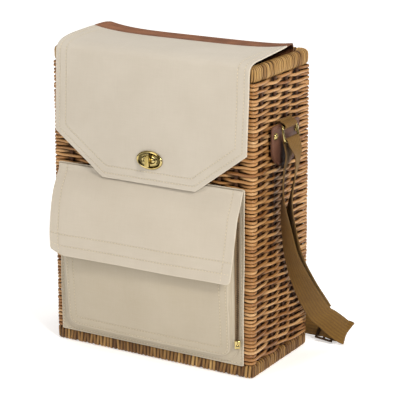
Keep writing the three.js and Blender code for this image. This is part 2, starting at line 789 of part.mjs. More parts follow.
function addStrap() {
  const outer = tableStations(strandRows(1), 5).reverse();
  const inner = strandRows(-1);
  const downAndRound = tableStations([...inner, ...foldRows], 5);
  addPiece(
    "strap_loop",
    bandSolid([...outer, ...overBar(1), ...downAndRound], webWidth, webThickness),
    colours.webbing,
    0.9,
    0,
  );

  const across = acrossDirection(sliderHeading, sliderTilt);
  const along = new THREE.Vector3(1, 0, 0);
  along.addScaledVector(across, -along.dot(across)).normalize();
  const outward = new THREE.Vector3().crossVectors(along, across).normalize();
  if (outward.y < 0) {
    outward.negate();
  }
  const weave = [1.4, 1, 0.5, 0, -0.5, -1, -1.5];
  const threaded = weave.map((place) => {
    const lift = -Math.cos(Math.PI * Math.min(Math.abs(place), 1)) * weaveDepth;
    const at = sliderAt.clone().addScaledVector(along, place * sliderPitch).addScaledVector(outward, lift);
    return { x: at.x, y: at.y, z: at.z, heading: sliderHeading, tilt: sliderTilt };
  });
  const behind = tableStations([...threaded, ...behindRows], 4);
  const sewnEnd = tableStations(sewnEndRows, 4);
  addPiece(
    "strap_main",
    bandSolid([...behind, ...overBar(-1), ...sewnEnd], webWidth, webThickness),
    colours.webbing,
    0.9,
    0,
  );

  const outline = roundedRect(new THREE.Shape(), sliderPitch + sliderBarHalf, sliderHalfAcross, 3);
  let frame = toManifold(extruded(outline, sliderThickness, 0, 4, 1));
  const slotWidth = sliderPitch - 2 * sliderBarHalf;
  for (const side of [-0.5, 0.5]) {
    const slot = new THREE.BoxGeometry(slotWidth, 2 * sliderBarAcross, 4 * sliderThickness);
    slot.translate(side * sliderPitch, 0, 0);
    frame = frame.subtract(toManifold(slot));
  }
  const slider = fromManifold(frame);
  slider.translate(0, 0, -sliderThickness / 2);
  const facing = new THREE.Vector3().crossVectors(along, across);
  slider.applyMatrix4(new THREE.Matrix4().makeBasis(along, across, facing).setPosition(sliderAt));
  addPiece("strap_slider", slider, colours.darkMetal, 0.4, 1);
}

addCase();
addBand();
addFlap();
addLock();
addPocket();
addZip();
addAnchors();
addStrap();

export default basket;
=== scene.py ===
# Picnic basket: wicker case, canvas flap and pocket, leather, brass lock, webbing strap
import math
import random

import bpy
import numpy as np
from mathutils import Matrix, Vector


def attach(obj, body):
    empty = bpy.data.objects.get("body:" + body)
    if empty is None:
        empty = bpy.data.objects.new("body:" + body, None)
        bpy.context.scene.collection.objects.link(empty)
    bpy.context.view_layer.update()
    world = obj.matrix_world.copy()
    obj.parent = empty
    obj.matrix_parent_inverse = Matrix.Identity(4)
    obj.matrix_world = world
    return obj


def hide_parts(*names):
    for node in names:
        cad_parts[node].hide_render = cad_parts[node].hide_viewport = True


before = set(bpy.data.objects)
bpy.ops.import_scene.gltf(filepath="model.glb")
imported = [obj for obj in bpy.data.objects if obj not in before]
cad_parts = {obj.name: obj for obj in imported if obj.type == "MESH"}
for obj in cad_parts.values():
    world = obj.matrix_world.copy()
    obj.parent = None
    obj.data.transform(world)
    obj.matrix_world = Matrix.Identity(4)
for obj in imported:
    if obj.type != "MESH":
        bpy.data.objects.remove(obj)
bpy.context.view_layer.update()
dice = random.Random(11)
mm = 0.001
fullTurn = 6.28


def tint(code):
    # a screen colour as linear light
    parts = [int(code[i:i + 2], 16) / 255 for i in (0, 2, 4)]
    return tuple(c / 12.92 if c <= 0.04045 else ((c + 0.055) / 1.055) ** 2.4 for c in parts) + (1.0,)


# Camera, light and floor
studio = {
    "eye": (1.0818, -1.7848, 0.7985), "azimuth": 30.543, "elevation": 16.138, "roll": 0.036, "lens": 149.89,
    "world": 0.15, "floor": "f4f3f1", "floorGlow": [(0.3, 0.46), (0.8, 0.85)], "glowReach": 2.0,
    "lamps": [  # name, place, aimed at, size, watts, colour
        ("keyLamp", (1.65, -1.0, 1.5), (0.1, 0.0, 0.2), 0.4, 35.0, "fffaf2"),
        ("frontFill", (-0.7, -2.0, 1.6), (0.0, 0.0, 0.2), 1.0, 14.0, "fffcf8"),
        ("overhead", (-0.2, 0.3, 2.3), (0.0, 0.0, 0.2), 1.6, 26.0, "ffffff"),
        ("backRight", (1.3, 1.5, 1.0), (0.1, 0.0, 0.2), 0.6, 6.0, "fff4e4"),
    ],
}


def axesOf(x, y, z):
    return Matrix((Vector(x), Vector(y), Vector(z))).transposed().to_4x4()


def setStudio():
    scene = bpy.context.scene
    az, el, roll = (math.radians(studio[k]) for k in ("azimuth", "elevation", "roll"))
    back = Vector((math.sin(az) * math.cos(el), -math.cos(az) * math.cos(el), math.sin(el)))
    right = Vector((math.cos(az), math.sin(az), 0))
    up = back.cross(right)
    turnedRight = right * math.cos(roll) + up * math.sin(roll)
    turnedUp = up * math.cos(roll) - right * math.sin(roll)
    bpy.ops.object.camera_add()
    camera = bpy.context.object
    camera.name = "photoCamera"
    camera.matrix_world = Matrix.Translation(studio["eye"]) @ axesOf(turnedRight, turnedUp, back)
    camera.data.lens = studio["lens"]
    camera.data.sensor_width = 36
    camera.data.clip_end = 30
    scene.camera = camera

    world = bpy.data.worlds.new("paleRoom")
    world.use_nodes = True
    world.node_tree.nodes["Background"].inputs["Color"].default_value = (1, 1, 1, 1)
    world.node_tree.nodes["Background"].inputs["Strength"].default_value = studio["world"]
    scene.world = world
    for name, place, aim, size, watts, colour in studio["lamps"]:
        bpy.ops.object.light_add(type="AREA", location=place)
        lamp = bpy.context.object
        lamp.name = name
        lamp.rotation_euler = (Vector(aim) - Vector(place)).to_track_quat("-Z", "Y").to_euler()
        lamp.data.size = size
        lamp.data.energy = watts
        lamp.data.color = tint(colour)[:3]

    bpy.ops.mesh.primitive_plane_add(size=24, location=(0, 0, -0.0005))
    floor = bpy.context.object
    floor.name = "paleFloor"
    fixed = {"Base Color": tint(studio["floor"]), "Roughness": 0.9, "Emission Strength": 1.0}
    paper = Finish("palePaper", **fixed)
    away = paper.node("ShaderNodeVectorMath", {"operation": "LENGTH"}, {0: paper.spot()}, out=1)
    stops = [(place, (grey, grey, grey, 1)) for place, grey in studio["floorGlow"]]
    floor.data.materials.append(paper.wear(Emission_Color=paper.ramp(away / studio["glowReach"], stops)))
    scene.view_settings.view_transform = "Standard"
    print("studio set")


# Finishes
class Wire:
    # one socket of a finish; arithmetic on it adds Math nodes
    def __init__(self, finish, socket):
        self.finish = finish
        self.socket = socket

    def maths(self, operation, *values):
        return self.finish.node("ShaderNodeMath", {"operation": operation}, dict(enumerate(values)))

    def __add__(self, other):
        return self.maths("ADD", self, other)

    def __radd__(self, other):
        return self.maths("ADD", other, self)

    def __sub__(self, other):
        return self.maths("SUBTRACT", self, other)

    def __rsub__(self, other):
        return self.maths("SUBTRACT", other, self)

    def __mul__(self, other):
        return self.maths("MULTIPLY", self, other)

    def __rmul__(self, other):
        return self.maths("MULTIPLY", other, self)

    def __truediv__(self, other):
        return self.maths("DIVIDE", self, other)

    def __abs__(self):
        return self.maths("ABSOLUTE", self)

    def sine(self):
        return self.maths("SINE", self)

    def low(self, other):
        return self.maths("MINIMUM", self, other)

    def high(self, other):
        return self.maths("MAXIMUM", self, other)


class Finish:
    def __init__(self, name, **fixed):
        self.material = bpy.data.materials.new(name)
        self.material.use_nodes = True
        self.tree = self.material.node_tree
        self.shader = self.tree.nodes["Principled BSDF"]
        for key, value in fixed.items():
            self.shader.inputs[key].default_value = value

    def feed(self, socket, value):
        if isinstance(value, Wire):
            self.tree.links.new(value.socket, socket)
        else:
            socket.default_value = value

    def node(self, kind, settings=None, sockets=None, out=0):
        made = self.tree.nodes.new(kind)
        for key, value in (settings or {}).items():
            if key == "stops":
                ramp = made.color_ramp
                for element, (place, colour) in zip((ramp.elements[0], ramp.elements[-1]), (value[0], value[-1])):
                    element.position = place
                    element.color = colour
                for place, colour in value[1:-1]:
                    ramp.elements.new(place).color = colour
            else:
                setattr(made, key, value)
        for key, value in (sockets or {}).items():
            self.feed(made.inputs[key], value)
        return Wire(self, made.outputs[out])

    def mark(self, name):
        return self.node("ShaderNodeAttribute", {"attribute_name": name}, out=2)

    def spot(self):
        return self.node("ShaderNodeTexCoord", out=3)

    def cut(self):
        return self.node("ShaderNodeUVMap", {"uv_map": "cut"})

    def cutWay(self, way):
        return self.node("ShaderNodeSeparateXYZ", None, {0: self.cut()}, out=way)

    def stretched(self, scale, spot=None):
        return self.node("ShaderNodeMapping", None, {"Vector": spot or self.cut(), "Scale": scale})

    def noise(self, scale, detail=3.0, rough=0.55, spot=None):
        sockets = {"Vector": spot or self.spot(), "Scale": scale, "Detail": detail, "Roughness": rough}
        return self.node("ShaderNodeTexNoise", None, sockets)

    def mixed(self, share, one, two):
        return self.node("ShaderNodeMix", {"data_type": "RGBA"}, {0: share, 6: one, 7: two}, out=2)

    def ramp(self, value, stops):
        return self.node("ShaderNodeValToRGB", {"stops": stops}, {0: value})

    def toned(self, value, deep, pale, low=0.3, high=0.7):
        return self.ramp(value, [(low, tint(deep)), (high, tint(pale))])

    def bump(self, height, distance, strength):
        sockets = {"Height": height, "Distance": distance, "Strength": strength}
        return self.node("ShaderNodeBump", None, sockets)

    def wear(self, **sockets):
        for key, value in sockets.items():
            self.feed(self.shader.inputs[key.replace("_", " ")], value)
        return self.material


def rodFinish(name, codes, shadow, gloss):
    f = Finish(name, **{"Coat Roughness": 0.26, "Specular IOR Level": 0.2})
    streak = f.noise(1.0, 4.0, 0.6, f.stretched((55, 900, 1)))
    patch = f.noise(38.0, 2.0)
    tone = f.mark("tone") + 0.5 * (streak - 0.5) + 0.35 * (patch - 0.5)
    bark = f.ramp(tone, [(place, tint(code)) for place, code in zip((0.0, 0.3, 0.55, 0.8, 1.0), codes)])
    # painted shade: the shade mark darkens the rods towards the shadow colour where light would not reach, and takes
    # off their coat there
    shade = f.mark("shade")
    colour = f.mixed(shade, bark, tint(shadow))
    grain = f.bump(streak, 0.0005, 0.5)
    return f.wear(Base_Color=colour, Roughness=0.42 + 0.3 * streak, Coat_Weight=gloss * (1 - shade), Normal=grain)


def canvasFinish(name, pale, deep, lines, hem=()):
    f = Finish(name, **{"Sheen Weight": 0.12, "Sheen Roughness": 0.6, "Specular IOR Level": 0.25})
    across = f.cutWay(1)
    pitch = 2 * math.pi / 0.0011
    warp = (f.cutWay(0) * pitch).sine()
    weft = (across * pitch).sine()
    slub = f.noise(1.0, 3.0, 0.6, f.stretched((40, 700, 1))) + f.noise(1.0, 3.0, 0.6, f.stretched((700, 40, 1)))
    mottle = f.noise(14.0, 4.0, 0.6)
    edge = f.mark("edge")
    grey = 0.3 * mottle + 0.1 * slub + 0.02 * warp * weft + 0.145
    colour = f.toned(grey, deep, pale, 0.16, 0.62)
    groove = None
    for away, place in [(edge, place) for place in lines] + [(across, place) for place in hem]:
        dip = (1 - abs(away - place) / 0.0011).high(0.0)
        groove = dip if groove is None else groove.high(dip)
    # painted shade: the seam grooves are darkened
    colour = f.mixed(0.22 * groove, colour, tint("8f7f68"))
    height = 0.3 * warp * weft + 0.5 * slub - 2.2 * groove
    worn = (1 - edge / 0.0016).high(0.0)
    colour = f.mixed(0.25 * worn, colour, tint("efe5d2"))
    return f.wear(Base_Color=colour, Roughness=0.82 + 0.12 * mottle, Normal=f.bump(height, 0.0004, 0.55))


def leatherFinish(name, pale, deep, lines):
    f = Finish(name, **{"Specular IOR Level": 0.4})
    grain = f.node("ShaderNodeTexVoronoi", {"feature": "F1"}, {"Vector": f.spot(), "Scale": 900.0})
    mottle = f.noise(45.0, 4.0, 0.6)
    edge = f.mark("edge")
    colour = f.toned(mottle, deep, pale)
    height = 0.5 * grain + 0.3 * mottle
    for place in lines:
        groove = (1 - abs(edge - place) / 0.0009).high(0.0)
        # painted shade in the stitch grooves
        colour = f.mixed(0.55 * groove, colour, tint("4a2c1d"))
        height = height - 1.6 * groove
    worn = (1 - edge / 0.0014).high(0.0)
    colour = f.mixed(0.6 * worn, colour, tint("54321f"))
    return f.wear(Base_Color=colour, Roughness=0.46 + 0.2 * mottle, Normal=f.bump(height, 0.0004, 0.5))


def metalFinish(name, pale, deep, rough):
    f = Finish(name, Metallic=1.0)
    cloud = f.noise(60.0, 4.0, 0.6)
    scratch = f.noise(1.0, 3.0, 0.6, f.stretched((300, 2600, 900), f.spot()))
    # the shade mark paints dark reflection into hollows, mixing towards a dark brown
    colour = f.mixed(f.mark("shade"), f.toned(cloud, deep, pale), tint("2c2410"))
    dull = rough + 0.16 * (cloud - 0.4) + 0.08 * scratch
    return f.wear(Base_Color=colour, Roughness=dull, Normal=f.bump(scratch, 0.0001, 0.25))


def webbingFinish(name, pale, deep):
    f = Finish(name, **{"Sheen Weight": 0.05, "Sheen Roughness": 0.5, "Specular IOR Level": 0.3})
    wave = (f.cutWay(0) * (2 * math.pi / 0.0042)).sine()
    pick = (f.cutWay(1) * (2 * math.pi / 0.0016) + wave * 1.5).sine()
    fuzz = f.noise(1.0, 4.0, 0.65, f.stretched((900, 260, 1)))
    mottle = f.noise(30.0, 3.0)
    rib = f.mark("edge") / 0.0003
    colour = f.toned(0.45 * fuzz + 0.35 * mottle + 0.1 * pick, deep, pale, 0.22, 0.6)
    # painted shade in the valleys between the ribs
    colour = f.mixed(0.4 * (1 - rib.low(1.0)), colour, tint("43321f"))
    return f.wear(Base_Color=colour, Roughness=0.78 + 0.15 * fuzz, Normal=f.bump(0.5 * pick + fuzz, 0.0004, 0.5))


def threadFinish(name, pale, deep):
    f = Finish(name, **{"Sheen Weight": 0.2, "Specular IOR Level": 0.3})
    ply = f.noise(1900.0, 2.0)
    return f.wear(Base_Color=f.toned(ply, deep, pale), Roughness=0.6 + 0.2 * ply, Normal=f.bump(ply, 0.0002, 0.4))


# Mesh makers
def startClean():
    if bpy.context.object and bpy.context.object.mode != "OBJECT":
        bpy.ops.object.mode_set(mode="OBJECT")
    bpy.ops.object.select_all(action="DESELECT")


def editing(on):
    bpy.ops.object.mode_set(mode="EDIT" if on else "OBJECT")


def started(name, add, **settings):
    # a primitive, named and in edit mode
    startClean()
    add(**settings)
    bpy.context.object.name = name
    editing(True)
    return bpy.context.object


def faceOut():
    bpy.ops.mesh.select_all(action="SELECT")
    bpy.ops.mesh.normals_make_consistent(inside=False)
    editing(False)


def applied(piece, kind, **settings):
    # one modifier, set and applied
    startClean()
    piece.select_set(True)
    bpy.context.view_layer.objects.active = piece
    change = piece.modifiers.new(kind.lower(), kind)
    for key, value in settings.items():
        setattr(change, key, value)
    bpy.ops.object.modifier_apply(modifier=change.name)


def cutAway(piece, tool):
    applied(piece, "BOOLEAN", operation="DIFFERENCE", object=tool)
    bpy.data.objects.remove(tool)


def placed():
    bpy.ops.object.transform_apply(location=True, rotation=True, scale=True)


def coated(piece, finish, angle):
    piece.data.materials.clear()
    piece.data.materials.append(finish)
    bpy.ops.object.shade_smooth_by_angle(angle=math.radians(angle))
    return piece


def ringStack(name, centre, rings, way, vertices, finish, closed=False, angle=40):
    # ovals extruded and scaled one after another along x, way 0, or y, way 1; closed joins the last to the first
    centre = Vector(centre) * mm
    turn = ((0, math.pi / 2, 0), (math.pi / 2, 0, 0))[way]
    sized = lambda a, b: (a, 1, b) if way else (1, a, b)
    circle = {"vertices": vertices, "radius": mm, "fill_type": "NOTHING"}
    piece = started(name, bpy.ops.mesh.primitive_circle_add, location=centre, rotation=turn, **circle)
    piece.data.name = name
    bpy.ops.mesh.select_all(action="SELECT")
    bpy.ops.transform.resize(value=sized(*rings[0][:2]), center_override=centre)
    for before, after in zip(rings, rings[1:]):
        move = Vector((0, 0, 0))
        move[way] = (after[2] - before[2]) * mm
        bpy.ops.mesh.extrude_region_move(TRANSFORM_OT_translate={"value": move})
        bpy.ops.transform.resize(value=sized(after[0] / before[0], after[1] / before[1]), center_override=centre)
    if not closed:
        bpy.ops.mesh.edge_face_add()
    bpy.ops.mesh.select_all(action="DESELECT")
    bpy.ops.mesh.select_non_manifold()
    if closed:
        bpy.ops.mesh.bridge_edge_loops()
    else:
        bpy.ops.mesh.edge_face_add()
    faceOut()
    placed()
    return coated(piece, finish, angle)


def makePiece(name, points, quads, finish, cut=None, marks=None, sharp=55, caps=()):
    # a closed mesh with its faces turned outwards
    points = np.asarray(points, float) * mm
    a, b, c, d = (points[quads[:, i]] for i in range(4))
    faces = quads.tolist() + [list(cap) for cap in caps]
    if (a * np.cross(b, c)).sum() + (a * np.cross(c, d)).sum() <= 0:
        faces = [face[::-1] for face in faces]
    mesh = bpy.data.meshes.new(name)
    mesh.from_pydata(points.tolist(), [], faces)
    mesh.materials.append(finish)
    for key, values in (marks or {}).items():
        mesh.attributes.new(key, "FLOAT", "POINT").data.foreach_set("value", np.asarray(values, np.float32))
    if cut is not None:
        corner = np.zeros(len(mesh.loops), np.int32)
        mesh.loops.foreach_get("vertex_index", corner)
        mesh.uv_layers.new(name="cut").data.foreach_set("uv", (np.asarray(cut, np.float32) * mm)[corner].ravel())
    mesh.shade_smooth()
    mesh.set_sharp_from_angle(angle=math.radians(sharp))
    piece = bpy.data.objects.new(name, mesh)
    bpy.context.collection.objects.link(piece)
    return piece


def ringQuads(rings, around, loop, start=0):
    # quads between rings of points; loop joins the last ring to the first
    i = np.arange(rings if loop else rings - 1)[:, None]
    j = np.arange(around)[None, :]
    k = (i + 1) % rings
    n = (j + 1) % around
    return (start + np.stack([i * around + j, i * around + n, k * around + n, k * around + j], -1)).reshape(-1, 4)


def ringCaps(rings, around, start=0):
    first = list(range(start, start + around))
    return [first[::-1], [i + (rings - 1) * around for i in first]]


def hoops(centre, one, two, a, b):
    # a ring of points about each centre, a and b along the two ways
    return (centre[:, None] + a[..., None] * one[:, None] + b[..., None] * two[:, None]).reshape(-1, 3)


def tubeCut(along, around):
    return np.stack([np.repeat(along, len(around)), np.tile(around, len(along))], -1)


class Bundle:
    # many rods gathered in one mesh
    def __init__(self):
        self.points, self.quads, self.caps, self.cuts, self.tones, self.shades = [], [], [], [], [], []
        self.size = 0

    def add(self, points, around, cut, tone, shade, loop):
        n = len(points)
        self.points.append(points)
        self.quads.append(ringQuads(n // around, around, loop, self.size))
        if not loop:
            self.caps += ringCaps(n // around, around, self.size)
        self.cuts.append(cut)
        self.tones.append(np.broadcast_to(tone, n))
        self.shades.append(np.broadcast_to(shade, n))
        self.size += n

    def piece(self, name, finish, sharp=80):
        points, quads, cut = (np.concatenate(rows) for rows in (self.points, self.quads, self.cuts))
        marks = {"tone": np.concatenate(self.tones), "shade": np.concatenate(self.shades)}
        return makePiece(name, points, quads, finish, cut, marks, sharp, self.caps)


def settle(piece, nodes, body="basket"):
    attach(piece, body)
    if nodes:
        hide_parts(*nodes)
    return piece


def smoothRow(table, column, t):
    # Catmull-Rom through one column of a table, t from 0 to 1 over its rows
    values = np.array([row[column] for row in table], float)
    n = len(values) - 1
    ends = np.concatenate([[2 * values[0] - values[1]], values, [2 * values[-1] - values[-2]]])
    place = np.clip(np.asarray(t, float), 0, 1) * n
    i = np.minimum(place.astype(int), n - 1)
    f = place - i
    a, b, c, d = ends[i], ends[i + 1], ends[i + 2], ends[i + 3]
    return b + 0.5 * f * (c - a + f * (2 * a - 5 * b + 4 * c - d + f * (3 * (b - c) + d - a)))


def straightRow(table, column, t):
    values = [row[column] for row in table]
    return np.interp(t, np.linspace(0, 1, len(values)), values)


def unit(vectors):
    return vectors / np.maximum(np.linalg.norm(vectors, axis=-1, keepdims=True), 1e-9)


def lengths(line):
    # length along a line of points, from its start
    return np.concatenate([[0], np.cumsum(np.linalg.norm(np.diff(line, axis=0), axis=1))])


def sheetNormals(surface, u, v):
    h = 1e-3
    return unit(np.cross(surface(u + h, v) - surface(u - h, v), surface(u, v + h) - surface(u, v - h)))


def lookout(surface, u, v, way):
    # +1 where the sheet's own normal looks the given way
    return math.copysign(1.0, sheetNormals(surface, np.array([u]), np.array([v]))[0].dot(way))


def acrossSteps(inner, ends, middle):
    # steps from -1 to 1, finer outside the inner share
    outer = np.linspace(inner, 1, ends)[1:]
    return np.concatenate([-outer[::-1], np.linspace(-inner, inner, middle), outer])


def sheetPiece(name, surface, us, vs, thickness, finish, rim, halfOf, downOf, endsOf=None, edgeOf=None):
    # a sheet of even thickness on a curved surface, its edges rounded; halfOf and downOf lay it flat,
    # endsOf says how far a place down it is from its ends, or edgeOf how far any place is from an edge
    u, v = np.meshgrid(us, vs)
    middle = surface(u, v)
    half = sheetNormals(surface, u, v) * thickness / 2
    rows, cols = u.shape
    grid = np.arange(rows * cols).reshape(rows, cols)
    other = grid + rows * cols
    points = np.concatenate([(middle + half).reshape(-1, 3), (middle - half).reshape(-1, 3)])
    front = np.stack([grid[:-1, :-1], grid[:-1, 1:], grid[1:, 1:], grid[1:, :-1]], -1).reshape(-1, 4)
    back = np.stack([other[:-1, :-1], other[1:, :-1], other[1:, 1:], other[:-1, 1:]], -1).reshape(-1, 4)
    loop = np.concatenate([grid[0, :-1], grid[:-1, -1], grid[-1, :0:-1], grid[:0:-1, 0]])
    after = np.roll(loop, -1)
    wall = np.stack([loop, loop + rows * cols, after + rows * cols, after], -1)
    width, down = halfOf(v), downOf(v)
    edge = edgeOf(u, v) if edgeOf else np.minimum((1 - np.abs(u)) * width, endsOf(down))
    cut = np.tile(np.stack([u * width, down], -1).reshape(-1, 2), (2, 1))
    marks = {"edge": np.tile(edge.reshape(-1) * mm, 2)}
    piece = makePiece(name, points, np.concatenate([front, back, wall]), finish, cut, marks)
    applied(piece, "BEVEL", limit_method="ANGLE", angle_limit=math.radians(58), width=rim * mm, segments=2)
    return piece


stitch = {"pitch": 4.3, "length": 3.1, "radius": 0.36, "sunk": 0.12, "sides": 5, "look": 0.8}
stitchRings = np.array([  # place along the thread, size, lift
    (-0.5, 0.35, -0.75), (-0.3, 1.0, 0.35), (0.3, 1.0, 0.35), (0.5, 0.35, -0.75),
])


def stitchPiece(name, runs, finish):
    # short threads along lines on a sheet; a run is a surface, its points u v and how far out the thread lies
    sides = stitch["sides"]
    share, size, rise = stitchRings.T
    angle = np.arange(sides) * 2 * math.pi / sides
    r = stitch["radius"] * size[:, None, None]
    points = []
    for surface, u, v, lift in runs:
        along = lengths(surface(u, v))
        count = max(int(along[-1] / stitch["pitch"]), 1)
        place = (np.arange(count) + 0.5) * along[-1] / count
        spot = lambda shift: surface(np.interp(place + shift, along, u), np.interp(place + shift, along, v))
        heading = unit(spot(stitch["look"]) - spot(-stitch["look"]))
        normal = sheetNormals(surface, np.interp(place, along, u), np.interp(place, along, v))
        out = normal * np.sign(lift)
        side = np.cross(out, heading)
        centre = spot(0) + out * (abs(lift) - stitch["sunk"])
        ring = centre[:, None] + heading[:, None] * (share * stitch["length"])[:, None]
        ring = ring + out[:, None] * (rise * stitch["radius"])[:, None]
        hoop = np.cos(angle)[:, None] * side[:, None] + np.sin(angle)[:, None] * out[:, None]
        points.append((ring[:, :, None] + r * hoop[:, None]).reshape(-1, 3))
    points = np.concatenate(points)
    starts = range(0, len(points), len(stitchRings) * sides)
    quads = np.concatenate([ringQuads(len(stitchRings), sides, False, start) for start in starts])
    caps = [cap for start in starts for cap in ringCaps(len(stitchRings), sides, start)]
    return settle(makePiece(name, points, quads, finish, caps=caps), [])


setStudio()

willow = rodFinish("willowRods", ("583214", "88592d", "ad7d49", "ca9f6d", "e4c89f"), "2e1403", 0.5)
cane = rodFinish("caneWraps", ("6a4722", "9a7340", "bd9559", "d6b57c", "e8cf9c"), "2a1607", 0.2)
flapCanvas = canvasFinish("flapCanvas", "cac2b5", "b1a797", (0.0065, 0.016))
pocketCanvas = canvasFinish("pocketCanvas", "c0b7a6", "a99b84", (0.003, 0.012))
hide = leatherFinish("brownLeather", "8f5e3f", "6d442b", (0.004, 0.017))
# the shields' leather is darker: partly its own colour, partly painted shade for the strap's shadow that falls on
# them
shieldHideAndShadow = leatherFinish("darkLeatherAndShadow", "704a38", "482c20", (0.004,))
brass = metalFinish("polishedBrass", "d4c289", "8d793b", 0.13)
oldMetal = metalFinish("darkMetal", "6b5b49", "3a3027", 0.34)
webbing = webbingFinish("khakiWebbing", "8a6629", "65471b")
zipCloth = webbingFinish("brownZip", "8a7355", "64503a")
creamThread = threadFinish("creamThread", "e6dbc2", "bfae8e")
brownThread = threadFinish("brownThread", "8a5d44", "6a4430")
print("finishes made")


# Wicker case
def planSpot(s, halfX, halfY, radius, offset=0.0):
    # a point of a rounded rectangle seen from above, s along it from the middle of the front
    fx, fy, q = halfX - radius, halfY - radius, math.pi / 2 * radius
    starts = np.cumsum([0, fx, q, 2 * fy, q, 2 * fx, q, 2 * fy, q, fx])
    baseX = np.array([0, fx, halfX, halfX, fx, -fx, -halfX, -halfX, -fx])
    baseY = np.array([-halfY, -halfY, -fy, fy, halfY, halfY, fy, -fy, -halfY])
    heading = np.radians([0, 0, 90, 90, 180, 180, 270, 270, 360])
    s = np.mod(s, starts[-1])
    leg = np.clip(np.searchsorted(starts, s, side="right") - 1, 0, 8)
    f = s - starts[leg]
    bent = leg % 2 == 1
    h = heading[leg]
    out = h - math.pi / 2 + np.where(bent, f / radius, 0)
    x = baseX[leg] + np.where(bent, -radius * np.cos(h - math.pi / 2), f * np.cos(h))
    y = baseY[leg] + np.where(bent, -radius * np.sin(h - math.pi / 2), f * np.sin(h))
    reach = np.where(bent, np.maximum(radius + offset, 0), offset)
    x = np.clip(x + reach * np.cos(out), -halfX - offset, halfX + offset)
    y = np.clip(y + reach * np.sin(out), -halfY - offset, halfY + offset)
    return x, y, out


def planLength(halfX, halfY, radius):
    return 4 * (halfX - radius) + 4 * (halfY - radius) + 2 * math.pi * radius


wall = {
    "plan": (145.5, 71.5, 3.5), "bottom": 18.3, "top": 377.7, "rows": 78, "rod": 1.85, "tall": 1.12, "swing": 2.85,
    "stakes": ([24.4 * k for k in range(-5, 6)], [-52.0, -18.0, 12.0, 40.0]),  # along the front, along a side
    "stake": (3.3, 1.4), "innerTall": 0.5, "inside": (-3.3, -4.0), "cornerFill": 2.4, "lean": 1.5,
    "step": 4.6, "looseFrom": 300, "tone": (0.54, 0.12, 0.32, 0.68),  # middle, spread, least, most
}
sixSides = np.arange(6) * math.pi / 3


def wallKnots():
    # where a rod crosses the stakes: place along the wall, side order; corners keep all rods outside
    halfX, halfY, corner = wall["plan"]
    fx, fy, q = halfX - corner, halfY - corner, math.pi / 2 * corner
    total = planLength(*wall["plan"])
    knots = []
    for side in range(4):
        middle = side * (fx + fy + q)
        knots += [((middle + place) % total, i) for i, place in enumerate(wall["stakes"][side % 2])]
        end = middle + (fy if side % 2 else fx)
        knots += [(end + 1, None), (end + q - 1, None)]
    return sorted(knots, key=lambda k: k[0]), total


def weaveRods(knots, total):
    spots = np.array([k[0] for k in knots])
    at = np.append(spots, spots[0] + total)
    angle = sixSides + math.pi / 6
    # five points between stakes, fewer where they are near each other
    places = []
    for a, b in zip(at, at[1:]):
        count = max(2, min(5, int(round((b - a) / wall["step"]))))
        places.extend(a + (b - a) * np.arange(count) / count)
    places = np.sort(np.mod(places, total))
    p = np.where(places < spots[0], places + total, places)
    k = np.clip(np.searchsorted(at, p, side="right") - 1, 0, len(spots) - 1)
    ease = (1 - np.cos(math.pi * (p - at[k]) / (at[k + 1] - at[k]))) / 2
    turn = places / total * 2 * math.pi
    heights = np.linspace(0, 1, wall["rows"])
    heights = heights + 0.03 * heights ** 3 * (heights - 1)  # a little looser near the top
    # painted shade on each rod's inner, upper and lower sides
    paintedUnderShade = np.clip(0.28 - 0.75 * np.cos(angle), 0, 0.92)[None]
    rods = Bundle()
    for row in range(wall["rows"]):
        z0 = wall["bottom"] + wall["rod"] + heights[row] * (wall["top"] - wall["bottom"] - 2 * wall["rod"])
        signs = np.array([1.0 if i is None or (i + row) % 2 else -1.0 for _, i in knots])
        value = np.append(signs, signs[0])
        swing = value[k] + (value[k + 1] - value[k]) * ease
        slow = [(dice.uniform(0.15, 0.5), dice.uniform(0, fullTurn), dice.randint(2, 9)) for _ in range(3)]
        wander = sum(a * np.sin(m * turn + ph) for a, ph, m in slow)
        loose = np.clip((z0 - wall["looseFrom"]) / 70, 0, 1)
        lift = 0.45 * wander * (0.7 + loose) + dice.uniform(-0.3, 0.3)
        lift = lift + 0.35 * np.sin(31 * turn + dice.uniform(0, fullTurn))
        swell = 0.09 * np.sin(dice.randint(1, 3) * turn + dice.uniform(0, fullTurn))
        size = wall["rod"] * (1 + swell + dice.uniform(-0.06, 0.06))
        reach = wall["swing"] * swing * (1 + 0.06 * np.sin(17 * turn + dice.uniform(0, fullTurn)))
        x, y, out = planSpot(places, *wall["plan"], reach - wall["lean"] * heights[row])
        centre = np.stack([x, y, np.clip(z0 + lift, wall["bottom"] + 1.8, wall["top"] - 1.8)], -1)
        heading = unit(np.roll(centre, -1, 0) - np.roll(centre, 1, 0))
        outward = np.stack([np.cos(out), np.sin(out), 0 * out], -1)
        outward = unit(outward - heading * (outward * heading).sum(-1, keepdims=True))
        upward = np.cross(outward, heading)
        tall = wall["tall"] + wall["innerTall"] * np.clip(-swing, 0, 1)
        a, b = size[:, None] * np.cos(angle), (size * tall)[:, None] * np.sin(angle)
        middle, spread, least, most = wall["tone"]
        base = min(max(middle + dice.gauss(0, spread), least), most)
        drift = base + 0.09 * np.sin(turn * dice.randint(2, 5) + dice.uniform(0, fullTurn))
        # painted shade also on the rods' inner runs behind the stakes
        shade = np.maximum(np.clip(0.1 - 0.95 * swing, 0, 0.95)[:, None], paintedUnderShade).ravel()
        cut = tubeCut(places + 97 * row, angle * 2)
        rods.add(hoops(centre, outward, upward, a, b), 6, cut, np.repeat(drift, 6), shade, True)
    settle(rods.piece("wovenRods", willow), ["woven_wall"])


